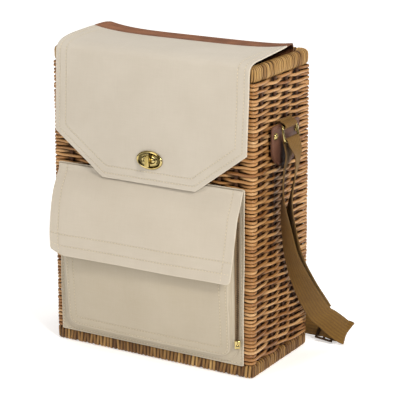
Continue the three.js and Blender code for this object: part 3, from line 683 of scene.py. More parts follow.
def plantStakes(knots):
    # upright stakes that the rods pass
    flat, thick = wall["stake"]
    angle = sixSides + math.pi / 6
    zs = np.linspace(wall["bottom"], wall["top"], 9)
    stakes = Bundle()
    for spot, order in knots:
        if order is None:
            continue
        x, y, out = (float(part[0]) for part in planSpot(np.array([spot]), *wall["plan"]))
        centre = np.stack([np.full(9, x), np.full(9, y), zs], -1)
        along = np.tile([-math.sin(out), math.cos(out), 0], (9, 1))
        outward = np.tile([math.cos(out), math.sin(out), 0], (9, 1))
        points = hoops(centre, along, outward, flat * np.cos(angle)[None], thick * np.sin(angle)[None])
        # the stakes take a darker tone and painted shade, so they read dark in the gaps
        stakes.add(points, 6, tubeCut(zs, angle * 2), 0.34 + dice.gauss(0, 0.07), 0.88, False)
    settle(stakes.piece("wallStakes", willow), [])


def lineShadeInside(knots, total):
    # a sheet inside the weave, behind the stakes and close behind the rods at the corners, in painted shade so the
    # gaps read dark
    outer, inner = wall["inside"]
    height = wall["top"] - wall["bottom"]
    pairs = np.array([place for place, order in knots if order is None])
    corners = (pairs[0::2] + pairs[1::2]) / 2
    near = (corners[:, None] + np.linspace(-9, 9, 13)).ravel()
    around = np.sort(np.concatenate([np.linspace(0, total, 120, endpoint=False), near]))
    fill = wall["cornerFill"] * np.exp(-(np.abs(around[:, None] - corners).min(1) / 5) ** 2)
    section = []
    for away, up in ((outer, 0), (outer, 1), (inner, 1), (inner, 0)):
        x, y, _ = planSpot(around, *wall["plan"], away + fill - wall["lean"] * up)
        section.append(np.stack([x, y, np.full(len(x), wall["bottom"] + height * up)], -1))
    shadeSheet = Bundle()
    shadeSheet.add(np.stack(section, 1).reshape(-1, 3), 4, tubeCut(around, [0, height, height, 0]), 0.2, 0.97, True)
    settle(shadeSheet.piece("wallInsideShade", willow, 55), [])


def makeWall():
    knots, total = wallKnots()
    weaveRods(knots, total)
    plantStakes(knots)
    lineShadeInside(knots, total)
    print("wall woven:", wall["rows"], "rows")


borders = {
    "rim": {
        "plan": (147.5, 77, 12), "inset": 7, "section": (6.1, 9.5, 5.6), "middle": 387.7, "pitch": 4.25,
        "node": "top_border", "tone": -0.08,
    },
    "foot": {
        "plan": (150, 76, 8), "inset": 5.5, "section": (4.6, 8.1, 2.8), "middle": 9, "pitch": 5.2,
        "node": "bottom_border", "tone": -0.28,
    },
}
wrapShape = np.array([  # across, rise and painted shade of the points round a flat cane; the shade darkens each wrap's edges and underside
    (-0.5, -0.3, 1.0), (-0.3, 0.7, 0.4), (0.0, 1.1, 0.0), (0.3, 0.7, 0.3), (0.5, -0.3, 1.0), (0.0, -0.6, 1.0),
])


def sectionLoop(section, count):
    # evenly spaced points round a rounded rectangle and the way out at each
    a, b, out = planSpot(np.arange(count) / count * planLength(*section), *section)
    return a[:, None], b[:, None], np.cos(out)[:, None], np.sin(out)[:, None]


def makeBorder(name):
    b = borders[name]
    total = planLength(*b["plan"])
    count = int(total / b["pitch"])
    steps = 16
    a, up, na, nu = sectionLoop(b["section"], steps)
    across, rise, shade = wrapShape.T
    wraps = Bundle()
    for i in range(count):
        s0 = (i + dice.uniform(-0.12, 0.12)) * total / count
        lean = dice.gauss(0.07, 0.08)
        wide = b["pitch"] * dice.uniform(0.92, 1.04)
        high = rise * dice.uniform(0.75, 1.0)
        x, y, _ = planSpot(s0 + lean * up + across * wide, *b["plan"], -b["inset"] + a + na * high)
        points = np.stack([x, y, b["middle"] + up + nu * high], -1).reshape(-1, 3)
        cut = tubeCut(np.arange(steps) * 3.2 + 61 * i, across * 4)
        wraps.add(points, 6, cut, 0.5 + b["tone"] + dice.gauss(0, 0.15), np.tile(shade, steps), True)
    settle(wraps.piece(name + "Wraps", cane), [b["node"]])

    # the rods inside the wrapping
    a, up, _, _ = sectionLoop([part - 0.3 for part in b["section"]], 12)
    s = np.linspace(0, total, 160, endpoint=False)
    x, y, _ = planSpot(np.repeat(s[:, None], 12, 1), *b["plan"], -b["inset"] + a.T)
    points = np.stack([x, y, np.broadcast_to(b["middle"] + up.T, x.shape)], -1).reshape(-1, 3)
    core = Bundle()
    # the core rods get painted shade, seen only in the gaps between wraps
    core.add(points, 12, tubeCut(s, np.arange(12) * 2.0), 0.2, 0.7, True)
    settle(core.piece(name + "Core", willow, 55), [])
    print(name, "wrapped:", count, "turns")


floorWeave = {
    "halfX": 138.0, "halfY": 64.0, "middle": 4.6, "rod": 1.9, "swing": 1.7, "rods": 26, "sticks": 11, "stick": 1.7,
}


def makeFloor():
    w = floorWeave
    weave = Bundle()

    def addRod(centre, radius, tone, shade):
        heading = unit(np.gradient(centre, axis=0))
        side = unit(np.cross(heading, np.array([0, 0, 1.0])))
        over, up = radius * np.cos(sixSides)[None], radius * np.sin(sixSides)[None]
        points = hoops(centre, side, np.cross(side, heading), over, up)
        cut = tubeCut(np.arange(len(centre)) * 5.0 + weave.size, sixSides * 2)
        weave.add(points, 6, cut, tone, shade, False)

    sticks = np.linspace(-w["halfX"] + 8, w["halfX"] - 8, w["sticks"])
    x = np.linspace(-w["halfX"], w["halfX"], 60)
    wave = math.pi * (x - sticks[0]) / (sticks[1] - sticks[0])
    for row, y in enumerate(np.linspace(-w["halfY"] + 2, w["halfY"] - 2, w["rods"])):
        z = w["middle"] + w["swing"] * np.cos(wave + math.pi * (row % 2))
        centre = np.stack([x, y + 0.3 * np.sin(x / 30 + row), z], -1)
        # painted shade: a little on the floor rods, more on the sticks below them
        addRod(centre, w["rod"] * dice.uniform(0.93, 1.05), 0.5 + dice.gauss(0, 0.1), 0.1)
    for x in sticks:
        y = np.linspace(-w["halfY"], w["halfY"], 5)
        addRod(np.stack([np.full(5, x), y, np.full(5, w["middle"])], -1), w["stick"], 0.35, 0.3)
    settle(weave.piece("wovenFloor", willow), ["base_panel"])
    print("floor woven")


makeWall()
makeBorder("rim")
makeBorder("foot")
makeFloor()


# Lid: leather hinge band over the back, canvas flap over the top and front
band = {
    "thick": 2.0, "wide": 288, "seams": (4.0, 17.0), "tackBelow": 8.0,
    "rows": [  # y, z, half width, shift to the right, rise of the left edge and of the right edge
        (20.6, 401.9, 144, -2, 6.7, 6.6), (32, 402.7, 142.8, -2.3, 6.6, 6.5), (43, 403.1, 140.4, -2.6, 6.6, 4.5),
        (50.5, 402.5, 136.6, -2.2, 6.4, 2.2), (56.5, 400.2, 132.6, -1, 4.1, 0.9), (60.1, 395.3, 130, -0.2, 1.1, 0.3),
        (61.5, 388, 129, 0, 0, 0), (61.6, 376, 129, 0, 0, 0),
    ],
}
flap = {
    "thick": 1.8, "half": 140.5, "cutTop": 291, "cutRow": 10, "bottom": 237, "bottomHalf": 68.5, "faceY": -85.4,
    "wide": 288, "slotHalfX": 10.5, "slotHalfZ": 5.5, "lines": (6.5, 16.0),
    "rows": [
        (20.2, 401.9, 144, -2, 6.7, 6.6), (6, 402.2, 143.7, -1.8, 6.4, 4.8), (-12, 402.9, 143, -1.2, 5.4, 2.8),
        (-32, 403.6, 142.2, 0, 4.4, 0.8), (-50, 404, 141.3, 1.6, 3.3, -0.5), (-65, 403.3, 140.7, 3, 2, -0.5),
        (-76.7, 399.2, 140.5, 4, 0.8, 0), (-80.4, 390, 140.5, 4, 0, 0), (-81.4, 362, 140.5, 4, 0, 0),
        (-83.6, 325, 140.5, 4, 0, 0), (-85.4, 291, 140.5, 4, 0, 0), (-85.4, 264, 140.5, 4, 0, 0),
        (-85.4, 237, 140.5, 4, 0, 0),
    ],
}
curlPower = 4.7


def lidSpot(rows, half, u, v):
    rise = np.where(u < 0, straightRow(rows, 4, v), straightRow(rows, 5, v)) * np.abs(u) ** curlPower
    x = straightRow(rows, 3, v) + u * half
    return np.stack([x, smoothRow(rows, 0, v) + 0 * u, smoothRow(rows, 1, v) + rise], -1)


def profileRun(surface, count):
    # length along the middle of a sheet at even steps of v
    fine = np.linspace(0, 1, count)
    return fine, lengths(surface(0 * fine, fine))


def bandHalf(v):
    return straightRow(band["rows"], 2, v)


def bandSurface(u, v):
    return lidSpot(band["rows"], bandHalf(v), u, v)


def makeBand():
    fine, along = profileRun(bandSurface, 701)
    end = along[-1]
    downOf = lambda v: np.interp(v, fine, along)
    endsOf = lambda down: np.minimum(down, end - down)
    us, vs = acrossSteps(0.6, 19, 30), np.linspace(0, 1, (len(band["rows"]) - 1) * 6 + 1)
    piece = sheetPiece("leatherBand", bandSurface, us, vs, band["thick"], hide, 0.6, bandHalf, downOf, endsOf)
    settle(piece, ["back_band"])
    lift = lookout(bandSurface, 0.0, 0.1, (0, 0, 1)) * band["thick"] / 2
    run = np.linspace(-0.97, 0.97, 240)
    places = np.interp([*band["seams"], end - band["tackBelow"]], along, fine)
    runs = [(bandSurface, run, np.full(240, v), lift) for v in places]
    seams = stitchPiece("bandStitches", runs, brownThread)
    print("band sewn, cut", band["wide"], "x", round(end), "mm")


def flapHalf(v):
    y = smoothRow(flap["rows"], 0, v)
    z = smoothRow(flap["rows"], 1, v)
    share = (flap["cutTop"] - z) / (flap["cutTop"] - flap["bottom"])
    angled = flap["half"] + (flap["bottomHalf"] - flap["half"]) * share
    return np.where((y < -80) & (z < flap["cutTop"]), angled, straightRow(flap["rows"], 2, v))


def flapSurface(u, v):
    return lidSpot(flap["rows"], flapHalf(v), u, v)


def makeFlap():
    fine, along = profileRun(flapSurface, 1101)
    end = along[-1]
    spans = len(flap["rows"]) - 1
    cutStart = np.interp(flap["cutRow"] / spans, fine, along)
    deep = end - cutStart
    wide = flap["half"] - flap["bottomHalf"]
    slope = math.hypot(deep, wide)

    def edgeOf(u, v):
        a, b = np.abs(u) * flapHalf(v), np.interp(v, fine, along)
        sideEdge = straightRow(flap["rows"], 2, v) - a
        angled = ((flap["half"] - a) * deep - (b - cutStart) * wide) / slope
        return np.minimum(np.minimum(np.minimum(sideEdge, angled), end - b), b + 8)

    downOf = lambda v: np.interp(v, fine, along)
    us, vs = acrossSteps(0.85, 12, 61), np.linspace(0, 1, spans * 9 + 1)
    shape = (us, vs, flap["thick"], flapCanvas, 0.5, flapHalf, downOf)
    piece = sheetPiece("canvasFlap", flapSurface, *shape, edgeOf=edgeOf)

    # slot for the lock
    seat = {"location": Vector((lock["x"], flap["faceY"], lock["height"])) * mm, "rotation": (math.pi / 2, 0, 0)}
    punch = started("punch", bpy.ops.mesh.primitive_cylinder_add, vertices=48, radius=mm, depth=0.03, **seat)
    bpy.ops.transform.resize(value=(flap["slotHalfX"], 1, flap["slotHalfZ"]))
    editing(False)
    cutAway(piece, punch)
    settle(piece, ["flap"])

    # two rows of stitches that follow the edge
    lift = lookout(flapSurface, 0.0, 0.7, (0, -1, 0)) * flap["thick"] / 2
    runs = []
    for d in flap["lines"]:
        turnAt = cutStart - d * (slope - deep) / wide
        down = np.concatenate([np.linspace(6, turnAt, 120), np.linspace(turnAt, end - d, 50)[1:]])
        sideA = straightRow(flap["rows"], 2, np.interp(down, along, fine)) - d
        half = np.minimum(sideA, flap["half"] - (d * slope + (down - cutStart) * wide) / deep)
        a = np.concatenate([half, np.linspace(half[-1], -half[-1], 60)[1:-1], -half[::-1]])
        v = np.interp(np.concatenate([down, np.full(58, end - d), down[::-1]]), along, fine)
        runs.append((flapSurface, a / flapHalf(v), v, lift))
    seams = stitchPiece("flapStitches", runs, creamThread)
    cutArea = 2 * np.trapz(flapHalf(fine), along) * mm * mm
    print("flap sewn, cut", flap["wide"], "x", round(end), "mm")


# Turn lock
lock = {
    "x": 7, "height": 269,
    "plate": [  # half across, half up, y of each ring from the back edge round the front to the slot
        (18.2, 11.2, -86.75), (19.0, 12.0, -87.1), (18.9, 11.9, -88.0), (18.1, 11.1, -88.9), (17.2, 10.2, -89.2),
        (16.4, 9.5, -88.9), (15.6, 8.9, -88.1), (14.6, 8.2, -87.75), (11.4, 6.0, -87.75), (10.6, 5.4, -88.2),
        (9.8, 4.8, -88.4), (9.0, 4.2, -88.0), (9.0, 4.2, -86.8),
    ],
    "shadedDish": (10.9, 16.2, -88.95, 0.85),  # ring of painted dark reflection in the plate's hollow: half across from and to, its front, how dark
    "post": [
        (15, 8, -76.4), (15, 8, -77.9), (8.3, 3.5, -78.1), (8.3, 3.5, -88.2), (7.5, 2.8, -88.8), (1.9, 1.9, -88.9),
        (1.9, 1.9, -93.2),
    ],
    "toggle": {
        "halfX": 3.3, "halfZ": 7.8, "back": -89.55, "front": -95.75, "round": 1.9, "waist": 0.22,
        "boreRadius": 2.3, "boreDepth": 4,
    },
}


def makeLock():
    at = lambda y: (lock["x"], y, lock["height"])
    plate = ringStack("lockPlateOval", at(lock["plate"][0][2]), lock["plate"], 1, 72, brass, True)
    inner, outer, front, dull = lock["shadedDish"]
    ratio = lock["plate"][1][0] / lock["plate"][1][1]
    shade = []
    # painted dark reflection: darkens the plate inside its raised rim
    for corner in plate.data.vertices:
        x, y, z = corner.co / mm
        across = math.hypot(x - lock["x"], (z - lock["height"]) * ratio)
        shade.append(dull if inner < across < outer and y > front else 0.0)
    plate.data.attributes.new("shade", "FLOAT", "POINT").data.foreach_set("value", shade)
    settle(plate, ["lock_plate"])
    post = ringStack("lockPostBoss", at(lock["post"][0][2]), lock["post"], 1, 48, brass)
    settle(post, ["lock_post"])

    t = lock["toggle"]
    deep = t["back"] - t["front"]
    middle = Vector(at((t["back"] + t["front"]) / 2)) * mm
    bar = started("toggleBar", bpy.ops.mesh.primitive_cube_add, size=mm, location=middle)
    bpy.ops.transform.resize(value=(2 * t["halfX"], deep, 2 * t["halfZ"]), center_override=middle)
    bpy.ops.mesh.bevel(offset=t["round"] * mm, segments=4, profile=0.55, affect="EDGES")
    editing(False)
    placed()
    # waisted grip: narrower in the middle of its front
    for corner in bar.data.vertices:
        up = (corner.co.z - middle.z) / (t["halfZ"] * mm)
        ahead = (middle.y - corner.co.y) / (deep / 2 * mm)
        corner.co.x -= t["waist"] * (corner.co.x - middle.x) * max(ahead, 0) * (1 - up * up)
    size = {"radius": t["boreRadius"] * mm, "depth": 2 * t["boreDepth"] * mm}
    place = Vector(at(t["back"])) * mm
    bpy.ops.mesh.primitive_cylinder_add(vertices=32, location=place, rotation=(math.pi / 2, 0, 0), **size)
    cutAway(bar, bpy.context.object)
    settle(coated(bar, brass, 35), ["lock_toggle"], "toggle")
    print("lock made")


# Front pocket
pocket = {
    "thick": 1.5, "backHalf": 138, "backBottom": 16.5, "backTop": 247, "backY": -77.1, "backCorner": 2,
    "seam": (131, 21, 20, 224), "edge": (121, 29, 14, 188),  # the gusset's edges: half width, bottom, corner, top
    "seamY": -78.9, "edgeIn": 1.8, "gussetWide": 16, "gussetBulge": 2.5,
    "panel": (122, 28, 14, 188), "crown": 3, "panelLines": (3.0, 12.0),
    "panelRows": [(28, -83), (60, -86), (92, -88.5), (124, -91), (156, -92.5), (188, -92)],
    "flapRows": [  # y, z, half width, lean to the left
        (-79, 245, 136, 0), (-80.6, 238, 135.8, 0.4), (-85, 229, 135.4, 1.6), (-92.5, 214, 134.8, 3.2),
        (-97.5, 196, 134.4, 4.2), (-101.5, 175, 134, 4.5), (-104.5, 155, 133.4, 4.2), (-107, 130.5, 131.8, 3),
    ],
    "flapCorner": 6, "flapLines": (13.0, 28.0), "leftLift": 5.5,
}
panelReach, panelFoot, panelCorner, panelTop = pocket["panel"]
panelTall = panelTop - panelFoot
backTall = pocket["backTop"] - pocket["backBottom"]


def panelDepth(z):
    return smoothRow(pocket["panelRows"], 1, (z - panelFoot) / panelTall)


def uLine(half, bottom, corner, top, k):
    # a U from the top right, down, along the bottom and up the left; each stretch is one unit of k
    leg = np.clip(np.floor(k), 0, 4).astype(int)
    f = k - leg
    nearStart, nearEnd = corner * (1 - np.cos(math.pi / 2 * f)), corner * (1 - np.sin(math.pi / 2 * f))
    flat, rise = 0 * f, top - bottom - corner
    x = np.choose(leg, [half + flat, half - nearStart, (half - corner) * (1 - 2 * f), nearEnd - half, flat - half])
    z = np.choose(leg, [corner + rise * (1 - f), nearEnd, flat, nearStart, corner + rise * f])
    return x, bottom + z


def gussetSurface(across, k):
    p = pocket
    seamX, seamZ = uLine(*p["seam"], k)
    edgeX, edgeZ = uLine(*p["edge"], k)
    edgeY = panelDepth(edgeZ) + p["edgeIn"]
    _, seamBottom, seamCorner, _ = p["seam"]
    low = np.clip((seamZ - seamBottom) / seamCorner, 0, 1)
    x = seamX + (edgeX - seamX) * across + np.sign(seamX) * p["gussetBulge"] * np.sin(math.pi * across) * low
    return np.stack([x, p["seamY"] + (edgeY - p["seamY"]) * across, seamZ + (edgeZ - seamZ) * across], -1)


def panelHalf(z):
    below = np.clip(panelFoot + panelCorner - z, 0, panelCorner)
    return panelReach - panelCorner + np.sqrt(panelCorner ** 2 - below ** 2)


def panelSurface(u, v):
    z = panelFoot + panelTall * v
    x = u * panelHalf(z)
    away = np.clip((1 - np.abs(u)) * 6, 0, 1) * np.clip(v * 6, 0, 1)
    slack = 0.7 * np.sin(x / 31 + 1.2) * np.sin(z / 23 + x / 90) + 0.5 * np.sin(x / 17 - z / 41)
    return np.stack([x, panelDepth(z) - pocket["crown"] * (1 - u * u) + slack * away, z], -1)


def pocketBackSurface(u, v):
    p = pocket
    z = p["backBottom"] + backTall * v
    inside = np.clip(p["backCorner"] - np.minimum(z - p["backBottom"], p["backTop"] - z), 0, p["backCorner"])
    half = p["backHalf"] - p["backCorner"] + np.sqrt(p["backCorner"] ** 2 - inside ** 2)
    curl = np.clip((np.abs(u) - 0.93) / 0.07, 0, 1) ** 2
    y = p["backY"] - curl * (0.7 + 0.6 * np.sin(z / 19 + 3 * np.sign(u)))
    return np.stack([u * half, y, z], -1)


def pocketFlapRun(count):
    fine = np.linspace(0, 1, count)
    return fine, lengths(np.stack([smoothRow(pocket["flapRows"], k, fine) for k in (0, 1)], -1))


def pocketFlapHalf(v):
    fine, along = pocketFlapRun(401)
    corner = pocket["flapCorner"]
    inside = np.clip(corner - along[-1] + np.interp(v, fine, along), 0, corner)
    bite = corner - np.sqrt(np.maximum(corner ** 2 - inside ** 2, 0))
    return smoothRow(pocket["flapRows"], 2, v) - 0.8 * bite


def pocketFlapSurface(u, v):
    y = smoothRow(pocket["flapRows"], 0, v) + u * smoothRow(pocket["flapRows"], 3, v)
    x = u * pocketFlapHalf(v)
    free = np.clip(v * 3, 0, 1) * (1 - u ** 4)
    slack = 0.9 * np.sin(x / 37 + 0.6) * np.sin(v * 5.2 + x / 120) + 0.5 * np.sin(x / 21 - 4 * v)
    lifted = pocket["leftLift"] * np.clip((-u - 0.9) / 0.1, 0, 1) * np.clip((v - 0.75) / 0.25, 0, 1)
    return np.stack([x, y + slack * free, smoothRow(pocket["flapRows"], 1, v) + lifted], -1)


def makePocket():
    p = pocket
    thick = p["thick"]
    front = lambda surface, v: lookout(surface, 0.0, v, (0, -1, 0)) * thick / 2

    us = acrossSteps(0.92, 8, 40)
    vs = np.concatenate([np.linspace(0, 0.026, 7), np.linspace(0.026, 0.974, 60)[1:-1], np.linspace(0.974, 1, 7)])
    halfOf = lambda v: p["backHalf"]
    downOf = lambda v: v * backTall
    endsOf = lambda down: np.minimum(down, backTall - down)
    back = sheetPiece("pocketBacking", pocketBackSurface, us, vs, thick, pocketCanvas, 0.4, halfOf, downOf, endsOf)
    settle(back, ["pocket_back"])

    steps = [np.linspace(leg, leg + 1, count)[1:] for leg, count in enumerate((24, 9, 30, 9, 24))]
    legs = np.concatenate([[0.0], *steps])
    run = lengths(gussetSurface(np.full_like(legs, 0.5), legs))
    wide = p["gussetWide"]
    halfOf = lambda v: wide
    downOf = lambda v: np.interp(v, legs, run)
    fromEnd = lambda v: np.minimum(np.interp(v, legs, run), run[-1] - np.interp(v, legs, run))
    edgeOf = lambda u, v: np.minimum(np.minimum(u, 1 - u) * wide, fromEnd(v) + 3)
    shape = (np.linspace(0, 1, 11), legs, thick - 0.2, pocketCanvas, 0.35, halfOf, downOf)
    gusset = sheetPiece("pocketGusset", gussetSurface, *shape, edgeOf=edgeOf)
    settle(gusset, ["pocket_gusset"])

    us = acrossSteps(0.88, 9, 56)
    foot = [0, 0.002, 0.006, 0.012, 0.02, 0.032, 0.045, 0.065]
    vs = np.concatenate([foot, np.linspace(0.0875, 1, 46)])
    halfOf = lambda v: panelHalf(panelFoot + panelTall * v)
    downOf = lambda v: v * panelTall
    endsOf = lambda down: down
    panel = sheetPiece("pocketPanel", panelSurface, us, vs, thick, pocketCanvas, 0.4, halfOf, downOf, endsOf)
    settle(panel, ["pocket_front"])

    fine, along = pocketFlapRun(801)
    end = along[-1]
    low, high = p["flapLines"]
    us = acrossSteps(0.86, 9, 56)
    vs = np.concatenate([np.linspace(0, 0.86, 60), np.linspace(0.86, 1, 26)[1:]])
    downOf = lambda v: np.interp(v, fine, along)
    endsOf = lambda down: end - down
    canvas = canvasFinish("pocketFlapCanvas", "ccc3b5", "b4a997", (low * mm,), ((end - high) * mm,))
    cover = sheetPiece("pocketCover", pocketFlapSurface, us, vs, thick, canvas, 0.45, pocketFlapHalf, downOf, endsOf)
    settle(cover, ["pocket_flap"])

    # stitch lines
    runs = []
    k = np.linspace(0.01, 4.99, 500)
    for d in p["panelLines"]:
        x, z = uLine(panelReach - d, panelFoot + d, max(panelCorner - d, 3), panelTop, k)
        runs.append((panelSurface, x / panelHalf(z), (z - panelFoot) / panelTall, front(panelSurface, 0.5)))
    panelSeams = stitchPiece("panelStitches", runs, creamThread)
    lift = front(pocketFlapSurface, 0.6)
    u = np.linspace(-0.985, 0.985, 120)
    runs = [(pocketFlapSurface, u, np.full(120, np.interp(end - d, along, fine)), lift) for d in p["flapLines"]]
    v = np.linspace(0.01, np.interp(end - 3, along, fine), 120)
    runs += [(pocketFlapSurface, side * (1 - low / pocketFlapHalf(v)), v, lift) for side in (-1, 1)]
    coverSeams = stitchPiece("coverStitches", runs, creamThread)
    lift = front(pocketBackSurface, 0.5)
    v = np.linspace(0.02, 0.98, 80)
    runs = [(pocketBackSurface, np.full(80, side * 0.975), v, lift) for side in (-1, 1)]
    runs.append((pocketBackSurface, np.linspace(-0.96, 0.96, 80), np.full(80, 0.014), lift))
    backSeams = stitchPiece("backingStitches", runs, creamThread)


# Zip down the right gusset
zipper = {
    "from": 0.08, "to": 0.55, "lift": 1.35, "thick": 0.8, "cutWide": 18, "toothPitch": 1.7, "sliderPlace": 0.97,
    "tooth": (1.15, 0.55, 0.5), "toothShift": 0.55, "toothRise": 0.75,
    "body": (7.6, 11.2, 3.2), "pull": (0, -2.4, 3.9), "eye": (0, 2.6, 3.3), "narrow": 0.14,
}
toothCorners = np.array([
    (-1, -1, -1), (1, -1, -1), (1, 1, -1), (-1, 1, -1),
    (-0.8, -0.7, 1), (0.8, -0.7, 1), (0.8, 0.7, 1), (-0.8, 0.7, 1),
])
toothFaces = np.array([(3, 2, 1, 0), (4, 5, 6, 7), (0, 1, 5, 4), (1, 2, 6, 5), (2, 3, 7, 6), (3, 0, 4, 7)])


def rightward(normals):
    return normals * np.where(normals[..., :1] < 0, -1, 1)


def zipSurface(across, k):
    return gussetSurface(across, k) + rightward(sheetNormals(gussetSurface, across, k)) * zipper["lift"]


def makeZip():
    ks = np.linspace(0.02, 1, 60)
    _, seamBottom, seamCorner, seamTop = pocket["seam"]
    tall = seamTop - seamBottom - seamCorner
    halfOf = lambda v: zipper["cutWide"]
    downOf = lambda v: v * tall
    shape = (np.linspace(zipper["from"], zipper["to"], 7), ks, zipper["thick"], zipCloth, 0.2, halfOf, downOf)
    tape = sheetPiece("zipTape", zipSurface, *shape, edgeOf=lambda u, v: 0 * u + 3)
    settle(tape, ["zip_tape"])

    # interlocking teeth
    count = int((ks[-1] - ks[0]) * tall / zipper["toothPitch"])
    middle = np.full(count, (zipper["from"] + zipper["to"]) / 2)
    kAt = np.linspace(0.04, 0.93, count)
    centre = zipSurface(middle, kAt)
    normal = rightward(sheetNormals(zipSurface, middle, kAt))
    heading = unit(np.gradient(centre, axis=0))
    side = np.cross(normal, heading)
    halfSide, halfAlong, halfUp = zipper["tooth"]
    shift = np.where(np.arange(count) % 2, 1, -1) * zipper["toothShift"]
    a, b, c = toothCorners.T
    points = hoops(centre, side, heading, shift[:, None] + halfSide * a, np.tile(halfAlong * b, (count, 1)))
    points = points + np.repeat(normal, 8, 0) * np.tile(zipper["toothRise"] + halfUp * c, count)[:, None]
    faces = np.concatenate([toothFaces + 8 * i for i in range(count)])
    settle(makePiece("zipTeeth", points, faces, oldMetal), [])

    # slider body and its round pull
    spot = middle[:1], np.array([zipper["sliderPlace"]])
    out = rightward(sheetNormals(zipSurface, *spot))[0]
    across = unit(np.cross([0, 0, 1.0], out))
    upward = np.cross(out, across)
    seat = Matrix.Translation(Vector((zipSurface(*spot)[0] + out * 0.9) * mm)) @ axesOf(across, upward, out)
    pull, eye = Vector(zipper["pull"]) * mm, Vector(zipper["eye"]) * mm
    body = started("zipSliderBody", bpy.ops.mesh.primitive_cube_add, size=mm)
    bpy.ops.transform.resize(value=zipper["body"])
    bpy.ops.transform.translate(value=(0, 0, zipper["body"][2] / 2 * mm))
    bpy.ops.mesh.bevel(offset=0.9 * mm, segments=3, affect="EDGES")
    bpy.ops.mesh.primitive_uv_sphere_add(segments=20, ring_count=12, radius=2.5 * mm, location=pull)
    bpy.ops.transform.resize(value=(1, 1.1, 0.62), center_override=pull)
    ring = {"major_radius": 1.9 * mm, "minor_radius": 0.5 * mm, "major_segments": 20, "minor_segments": 8}
    bpy.ops.mesh.primitive_torus_add(location=eye, rotation=(0, math.pi / 2, 0), **ring)
    editing(False)
    body.matrix_world = seat
    placed()
    for corner in body.data.vertices:  # narrower towards its foot
        away = corner.co - seat.translation
        rise = away.dot(Vector(upward)) / (zipper["body"][1] / 2 * mm)
        corner.co -= Vector(across) * away.dot(Vector(across)) * zipper["narrow"] * max(-rise, 0)
    settle(coated(body, brass, 40), ["zip_slider"])
    print("zip sewn")


# Leather shields, rivets, rings and tabs at both sides
anchor = {
    "halfWidth": 36, "top": 318, "shoulder": 290, "tip": 261, "x": 151.4, "thick": 2.0, "topCorner": 4, "start": 0.06,
    "rivetY": 27.5, "rivetZ": 305, "rivetX": 152.6,
    "rivet": [(4.6, 0.0), (4.65, 0.5), (4.3, 1.2), (3.4, 1.95), (2.0, 2.45), (0.7, 2.6)],  # radius, height
    "tabWidth": 30, "tabRows": [
        (151.4, 323.6), (151.7, 322), (153.6, 320.3), (157.9, 318.7), (159.8, 315.2),
        (158.75, 313.05), (156.8, 312.2), (154.85, 313.05), (154, 315), (154.2, 316.6),
    ],
    "ringWire": 1.6, "ringHalf": 18.3, "ringCorner": 3.0, "ringTop": (156.8, 315), "ringFoot": (160.6, 297),
}
shieldTall = anchor["top"] - anchor["tip"]


def shieldHalf(z):
    t = np.linspace(0, 1, 60)
    x = anchor["halfWidth"] * ((1 - t) ** 2 + 2 * t * (1 - t))
    height = anchor["shoulder"] * (1 - t) ** 2 + (anchor["tip"] + 7) * 2 * t * (1 - t) + anchor["tip"] * t ** 2
    low = np.interp(z, height[::-1], x[::-1])
    corner = anchor["topCorner"]
    top = np.clip(z - (anchor["top"] - corner), 0, corner)
    return np.where(z < anchor["shoulder"], low, anchor["halfWidth"] - corner + np.sqrt(corner ** 2 - top ** 2))


def shieldZ(v):
    return anchor["tip"] + anchor["start"] + (shieldTall - anchor["start"]) * v


def makeShield(side, word):
    a = anchor

    def shieldSurface(u, v):
        z = shieldZ(v)
        return np.stack([side * (a["x"] + 0 * u * v), u * shieldHalf(z), z + 0 * u], -1)

    def edgeOf(u, v):
        fromSide = (1 - np.abs(u)) * shieldHalf(shieldZ(v)) * np.clip(0.35 + v * 1.6, 0, 1)
        return np.minimum(fromSide, np.minimum(v, 1 - v) * shieldTall)

    halfOf = lambda v: a["halfWidth"]
    downOf = lambda v: v * shieldTall
    point = np.linspace(0, 1, 14)[:-1] ** 2 * 0.3
    point[0] = 0.002
    vs = np.concatenate([point, np.linspace(0.3, 0.93, 20), np.linspace(0.93, 1, 7)[1:]])
    shape = (np.linspace(-1, 1, 25), vs, a["thick"], shieldHideAndShadow, 0.5, halfOf, downOf)
    shield = sheetPiece("leatherShield" + word, shieldSurface, *shape, edgeOf=edgeOf)
    settle(shield, ["strap_patch_" + word.lower()])
    z = np.linspace(a["top"] - 3.5, a["tip"] + 8, 80)
    half = shieldHalf(z) - 3.5 - 1.5 * np.clip((a["shoulder"] - z) / 20, 0, 1)
    y, z = np.concatenate([half, -half[::-1], half[:1]]), np.concatenate([z, z[::-1], z[:1]])
    v = (z - a["tip"] - a["start"]) / (shieldTall - a["start"])
    lift = lookout(shieldSurface, 0.0, 0.5, (side, 0, 0)) * a["thick"] / 2
    runs = [(shieldSurface, y / shieldHalf(z), v, lift)]
    seams = stitchPiece("shieldStitches" + word, runs, brownThread)
    fine = np.linspace(0, 1, 200)
    flatArea = 2 * np.trapz(shieldHalf(shieldZ(fine)), fine * shieldTall) * mm * mm


